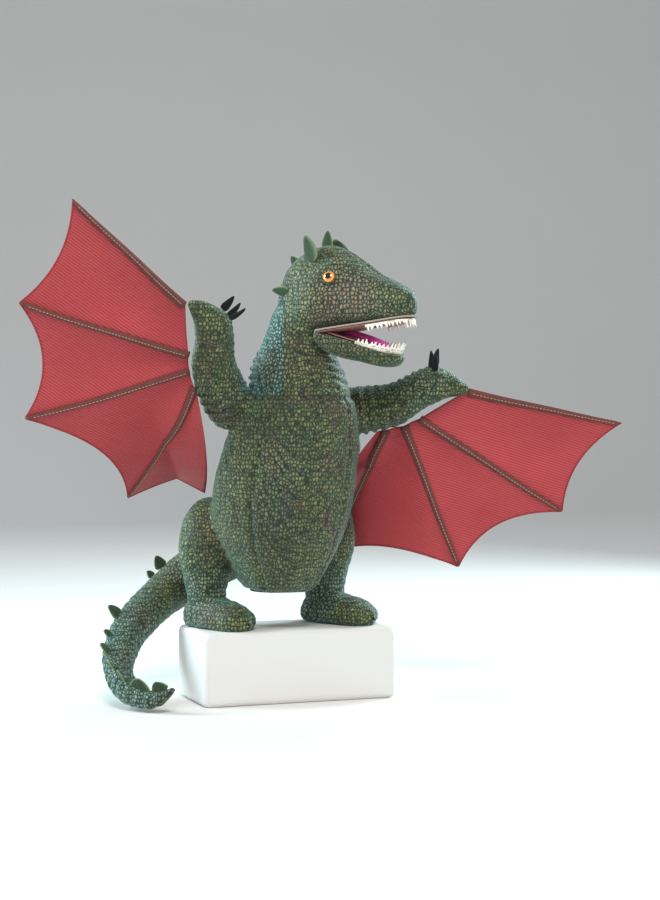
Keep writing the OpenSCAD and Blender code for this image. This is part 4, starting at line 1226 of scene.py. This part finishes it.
def felts():
    crown = in_head(30, 0, 30)
    hooked = {"hook": 0.001}
    fins = [("fins_back", "back_fins", "torso", lambda p: np.array([0, 1, 0.35]), hooked),
            ("fins_neck", "neck_fins", "neck",
             lambda p: unit((p - neck_seam) * (1, 1, 0)) + 0.5 * UP, hooked),
            ("fins_crest", "crest_fins", "head", lambda p: p - crown, hooked),
            ("fins_cheek", "cheek_fins", "head", lambda p: -FRONT + 0.25 * UP, {"cup": 0.0015}),
            ("fins_tail_base", "tail_base_fins", "tail_base", tail_axis_out, {"hook": 0.0015}),
            ("fins_tail_tip", "tail_tip_fins", "tail_tip", tail_axis_out, {"hook": 0.0015})]
    for name, node, body, outward, shape in fins:
        leaf_piece(name, node, body, outward, FELT, "fin_felt", **shape)
    for side in ("left", "right"):
        leaf_piece("ear_" + side + "_felt", "ear_" + side, "head", lambda p: UP - 0.15 * FRONT, EAR_FELT,
                   "fin_felt", cup=0.006, thick=0.0022, hook=-0.002, spread=1.45)
        _, e, _, n = arm_axes(side)
        grows = n + 0.25 * e
        leaf_piece("claws_hand_" + side, "hand_claws_" + side, "arm_" + side, lambda p, out=grows: out, CLAW,
                   "claw_felt", hook=0.003, fold=0.002)


def toe_claws():
    for side in ("left", "right"):
        parts = []
        forward = np.array([math.cos(TOE_TURN[side]), math.sin(TOE_TURN[side]), 0])
        for points in islands("toe_claws_" + side):
            c = points.mean(axis=0) - forward * 0.004
            line = [(*(c + forward * f + UP * z), r) for f, z, r in (
                (-0.004, 0.001, 0.0032), (0.001, 0.0012, 0.003), (0.005, 0, 0.0019), (0.008, -0.002, 0.0005))]
            parts.append(loft(sweep(line, 14, 12, ref=(0, 0, 1))))
        obj = new_mesh("claws_foot_" + side, *joined(parts))
        finish_piece(obj, CLAW, "leg_" + side)
        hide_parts("toe_claws_" + side)


def eyes():
    for side, sign in (("left", 1), ("right", -1)):
        tilt = math.radians(18)
        out = unit(LEFT * sign * math.cos(tilt) + UP * math.sin(tilt) + FRONT * 0.22)
        centre = in_head(64.5, sign * 36.6, 62.5)
        u = unit(np.cross(UP, out))
        v = np.cross(out, u)
        rings, polar = [], []
        radius, dome = 0.0076, 0.0046
        for t in np.linspace(1.0, 0.02, 18):
            a = around(36)
            r = radius * t
            z = dome * math.sqrt(max(0, 1 - t * t))
            rings.append(centre + out * z + r * (np.outer(np.cos(a), u) + np.outer(np.sin(a), v)))
            polar += [(math.cos(x), math.sin(x), t) for x in a]
        base = centre - out * 0.004 + radius * (np.outer(np.cos(a), u) + np.outer(np.sin(a), v))
        obj = new_mesh("eyeball_" + side, *loft([base] + rings))
        finish_piece(obj, EYE, "head", polar=np.array([(0, 0, 1.0)] * 36 + polar))
        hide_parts("eye_" + side)
        lid = []
        for x in np.linspace(0, 2 * np.pi, 49)[:-1]:
            c = centre + out * 0.0003 + (radius + 0.0006) * (math.cos(x) * u + math.sin(x) * v)
            d = -math.sin(x) * u + math.cos(x) * v
            lid.append(ring(c, d, 0.0011 + 0.0005 * max(0, math.sin(x)), 8, ref=out))
        lid.append(lid[0])
        obj = new_mesh("eyelid_" + side, *loft(lid))
        rim_paint = np.tile([0.0, 0.2, 0.7], (len(obj.data.vertices), 1))
        finish_piece(obj, SCALES, "head", rim_paint)


# ---- wings ---------------------------------------------------------------------------------------

# Shares of the wing's span and drop where the third rib and the inner edge end
INNER_TIPS = {"left": ((-0.21, -0.92), (-0.1, -0.47)), "right": ((-0.345, -0.675), (-0.41, -0.28))}


def wing_shape(side):
    """Root and tip of each rib and of the inner edge, in millimetres along and below the arm."""
    low = ARM_MIDDLE[side] - 4 - 25.5 - 3
    span, drop = 333, 224
    third, inner = INNER_TIPS[side]
    return [((156, -3), (span, -74)), ((92, low + 7), (0.74 * span, -0.777 * drop)),
            ((72, low + 1), (0.33 * span, -drop)), ((50, low - 1), (third[0] * span, third[1] * drop)),
            ((38, low - 1), (inner[0] * span, inner[1] * drop))]


SCALLOP = (0.13, 0.17, 0.13, 0.05)
TUCK = {"left": 68, "right": 42}


def wing_flat(side, v, r):
    ends = [(np.array(a, float), np.array(b, float)) for a, b in wing_shape(side)]
    i = min(int(math.floor(v)), 3)
    f = v - i
    (r0, t0), (r1, t1) = ends[i], ends[i + 1]
    inward = unit((r0 + r1 - t0 - t1) / 2)
    start = r0 * (1 - f) + r1 * f
    hem = t0 * (1 - f) + t1 * f + inward * np.linalg.norm(t1 - t0) * SCALLOP[i] * 4 * f * (1 - f)
    return start + (hem - start) * r


def bent(side, p):
    run = max(0.0, 84 - p[0])
    far = min(1.0, max(0.0, -p[1] - 25) / 60)
    w = min(0.85 * run, TUCK[side] * (run / 130) ** 1.4 * far)
    return p[0] + run - math.sqrt(max(0, run * run - w * w)), w, p[1]


def wing_at(side, v, r, lift=0.0, slip=(0, 0)):
    """Point on the wing; lift is toward its back, slip moves it in its own plane."""
    p = wing_flat(side, v, r) + np.asarray(slip, float)
    s, w, t = bent(side, p)
    f = v - math.floor(v)
    fullness = 7.0 if v < 3 else 3.5
    billow = fullness * math.sin(math.pi * f) ** 1.3 * math.sin(math.pi * min(1, 0.12 + 0.8 * r))
    bow = -5.0 * math.sin(math.pi * r)
    return in_arm(side, s, w + billow + bow + lift, t)


def wing_cloth(side):
    cols, rows = 4 * 26 + 1, 56
    grid = np.zeros((cols, rows, 3))
    flat = np.zeros((cols, rows, 2))
    for i, v in enumerate(np.linspace(0, 4, cols)):
        for j, r in enumerate(np.linspace(0, 1, rows)):
            grid[i, j] = wing_at(side, v, r)
            flat[i, j] = wing_flat(side, v, r)
    b = arm_axes(side)[2]
    verts, faces = thickened(grid - b * 0.0005, grid + b * 0.0005)
    if side == "right":
        faces = [tuple(reversed(f)) for f in faces]
    turned = flat.reshape(-1, 2) * MM
    angle = math.radians(62)
    c, s = math.cos(angle), math.sin(angle)
    weave = np.column_stack([turned @ (c, s), turned @ (-s, c), np.zeros(len(turned))])
    shade = np.zeros((len(verts), 3))
    rib_near = np.minimum.reduce([np.abs(np.linspace(0, 4, cols) - k) for k in range(4)])
    depth = np.exp(-(rib_near / 0.06) ** 2)[:, None] * np.ones((1, rows))
    shade[:, 0] = 0.5 * np.concatenate([depth.ravel(), depth.ravel()])
    obj = new_mesh("wing_panel_" + side, verts, faces)
    finish_piece(obj, WING, "wing_" + side, shade, weave=np.vstack([weave, weave]))
    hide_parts("wing_cloth_" + side)
    size = turned.max(axis=0) - turned.min(axis=0)
    cells = flat * MM
    d1 = cells[1:, 1:] - cells[:-1, :-1]
    d2 = cells[1:, :-1] - cells[:-1, 1:]
    area = float(np.abs(d1[..., 0] * d2[..., 1] - d1[..., 1] * d2[..., 0]).sum() / 2)
    return obj, (float(size[0]), float(size[1])), area


def rib_tape(side, v):
    """Casing over the boning: an arched strip, wide at the root and narrow at the tip."""
    rows, cols = 60, 9
    top = np.zeros((rows, cols, 3))
    under = np.zeros((rows, cols, 3))
    d = unit(wing_flat(side, v, 1) - wing_flat(side, v, 0))
    across = np.array([d[1], -d[0]])
    for i, r in enumerate(np.linspace(0.0, 0.995, rows)):
        half = 5.4 * (1 - 0.5 * r) * (1 if r < 0.97 else 0.6)
        wander = 0.4 * math.sin(9 * r + v)
        for j, u in enumerate(np.linspace(-1, 1, cols)):
            shift = half * (u + (0.55 if v == 0 else 0)) + wander
            height = 0.7 + 2.6 * max(0, 1 - abs(u) ** 2.2)
            top[i, j] = wing_at(side, v, r, -height, across * shift)
            under[i, j] = wing_at(side, v, r, -0.55, across * shift)
    return thickened(top, under) if side == "right" else thickened(under, top)


def stitches(side, v):
    """Cream stitches along the middle of a casing."""
    parts = []
    rib = wing_flat(side, v, 1) - wing_flat(side, v, 0)
    across = np.array([unit(rib)[1], -unit(rib)[0]])
    count = int(np.linalg.norm(rib) / 4.6)
    for stitch in range(count):
        r0, r1 = 0.03 + 0.93 * stitch / count, 0.03 + 0.93 * (stitch + 0.6) / count
        half = 5.4 * (1 - 0.5 * r0)
        shift = across * ((0.55 * half if v == 0 else 0) + 0.4 * math.sin(9 * r0 + v))
        a, c = (wing_at(side, v, r, -3.45, shift) for r in (r0, r1))
        tips = [(*(a * (1 - k) + c * k), r) for k, r in (
            (0, 0.00015), (0.25, 0.0003), (0.5, 0.00035), (0.75, 0.0003), (1, 0.00015))]
        parts.append(loft(sweep(tips, 6, 6, ref=arm_axes(side)[3])))
    return parts


def hem_line(side):
    points = [wing_at(side, v, 1.0) for v in np.linspace(0, 4, 200)]
    return [(*p, 0.0011) for p in points]


def wings():
    for side in ("left", "right"):
        body = "wing_" + side
        cloth, flat, area = wing_cloth(side)
        lead = new_mesh("leading_casing_" + side, *rib_tape(side, 0))
        fans = new_mesh("fan_casings_" + side, *joined([rib_tape(side, v) for v in (1, 2, 3)]))
        sewn = new_mesh("casing_stitches_" + side, *joined([p for v in range(4) for p in stitches(side, v)]))
        hem = new_mesh("wing_hem_" + side, *loft(sweep(hem_line(side), 8, 400, ref=arm_axes(side)[2])))
        finish_piece(lead, TAPE, body)
        finish_piece(fans, TAPE, body)
        finish_piece(sewn, THREAD, body)
        finish_piece(hem, WING, body, np.tile([0.55, 0, 0], (len(hem.data.vertices), 1)),
                     weave=np.zeros((len(hem.data.vertices), 3)))
        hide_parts("leading_rib_" + side)
        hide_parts("fan_ribs_" + side)


# ---- CAD nodes that stay -------------------------------------------------------------------------

def remaining_nodes():
    looks = {"stuffing": FIBRE, "lining": LINING, "mouth_board": BOARD, "washer_plastic": NYLON,
             "boning_plastic": NYLON}
    slots = {row["node"]: row["material_slot"] for row in frame["record"]["subparts"]}
    for node, obj in frame["nodes"].items():
        look = looks.get(slots.get(node))
        if look is None:
            continue
        obj.data.materials.clear()
        obj.data.materials.append(look)


# ---- stage ---------------------------------------------------------------------------------------

def stage():
    floor_z = float(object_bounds()[0][2]) - 0.004
    sole = lo("leg_skin_left")[2] - 0.0005
    floor = new_mesh("stage_floor", [(-6, -4, floor_z), (6, -4, floor_z), (6, 3, floor_z), (-6, 3, floor_z),
                                     (6, 4.4, floor_z + 1.6), (-6, 4.4, floor_z + 1.6),
                                     (6, 4.4, 5), (-6, 4.4, 5)],
                     [(0, 1, 2, 3), (3, 2, 4, 5), (5, 4, 6, 7)])
    floor.data.materials.append(stage_material((0.8, 0.79, 0.77), "pale_floor"))
    outline = [(-0.104, -0.035), (0.142, -0.035), (0.142, 0.082), (-0.104, 0.082)]
    corners = [(x, y, z) for z in (floor_z, sole) for x, y in outline]
    sides = [(k, (k + 1) % 4, (k + 1) % 4 + 4, k + 4) for k in range(4)]
    plinth = new_mesh("stage_plinth", corners, [(3, 2, 1, 0), (4, 5, 6, 7)] + sides, smooth=False)
    bevel = plinth.modifiers.new("edge", "BEVEL")
    bevel.width, bevel.segments = 0.008, 4
    plinth.data.materials.append(stage_material((0.76, 0.75, 0.73), "pale_plinth"))
    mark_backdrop(floor, plinth)


def area_light(name, place, target, size, power, colour=(1, 1, 1)):
    data = bpy.data.lights.new(name, "AREA")
    data.shape = "RECTANGLE"
    data.size, data.size_y = size
    data.energy = power
    data.color = colour
    obj = bpy.data.objects.new(name, data)
    obj.location = place
    obj.rotation_euler = (Vector(target) - Vector(place)).to_track_quat("-Z", "Y").to_euler()
    bpy.context.scene.collection.objects.link(obj)


def lights_and_camera():
    world = bpy.data.worlds.new("studio")
    world.use_nodes = True
    background = world.node_tree.nodes["Background"]
    background.inputs["Color"].default_value = (0.94, 0.96, 1.0, 1)
    background.inputs["Strength"].default_value = 0.42
    bpy.context.scene.world = world
    middle = (0, 0, 0.2)
    area_light("key", (-0.5, -1.7, 1.7), middle, (0.8, 0.8), 34, (1.0, 0.98, 0.94))
    area_light("fill", (1.7, -1.5, 0.7), middle, (1.2, 1.2), 8, (0.9, 0.96, 1.0))
    area_light("rim_left", (-1.5, 0.5, 0.7), middle, (0.6, 1.2), 38, (0.72, 0.95, 1.0))
    area_light("rim_right", (1.4, 0.6, 0.9), middle, (0.6, 1.0), 30, (0.74, 0.95, 1.0))
    camera = bpy.data.objects.new("camera", bpy.data.cameras.new("camera"))
    bpy.context.scene.collection.objects.link(camera)
    target = Vector((0.0474, -0.0572, 0.1724))
    azimuth, elevation, distance = math.radians(-20), math.radians(2), 2.4
    level = math.cos(elevation)
    away = Vector((math.sin(azimuth) * level, -math.cos(azimuth) * level, math.sin(elevation)))
    camera.location = target + away * distance
    camera.rotation_euler = (-away).to_track_quat("-Z", "Y").to_euler()
    camera.data.sensor_fit = "VERTICAL"
    camera.data.sensor_height = 24
    camera.data.lens = 12 / (0.54 / distance)
    camera.data.clip_end = 30
    bpy.context.scene.camera = camera
    bpy.context.scene.view_settings.view_transform = "Standard"


make_skins()
jaw_piece()
mouth()
felts()
toe_claws()
eyes()
wings()
remaining_nodes()
stage()
lights_and_camera()
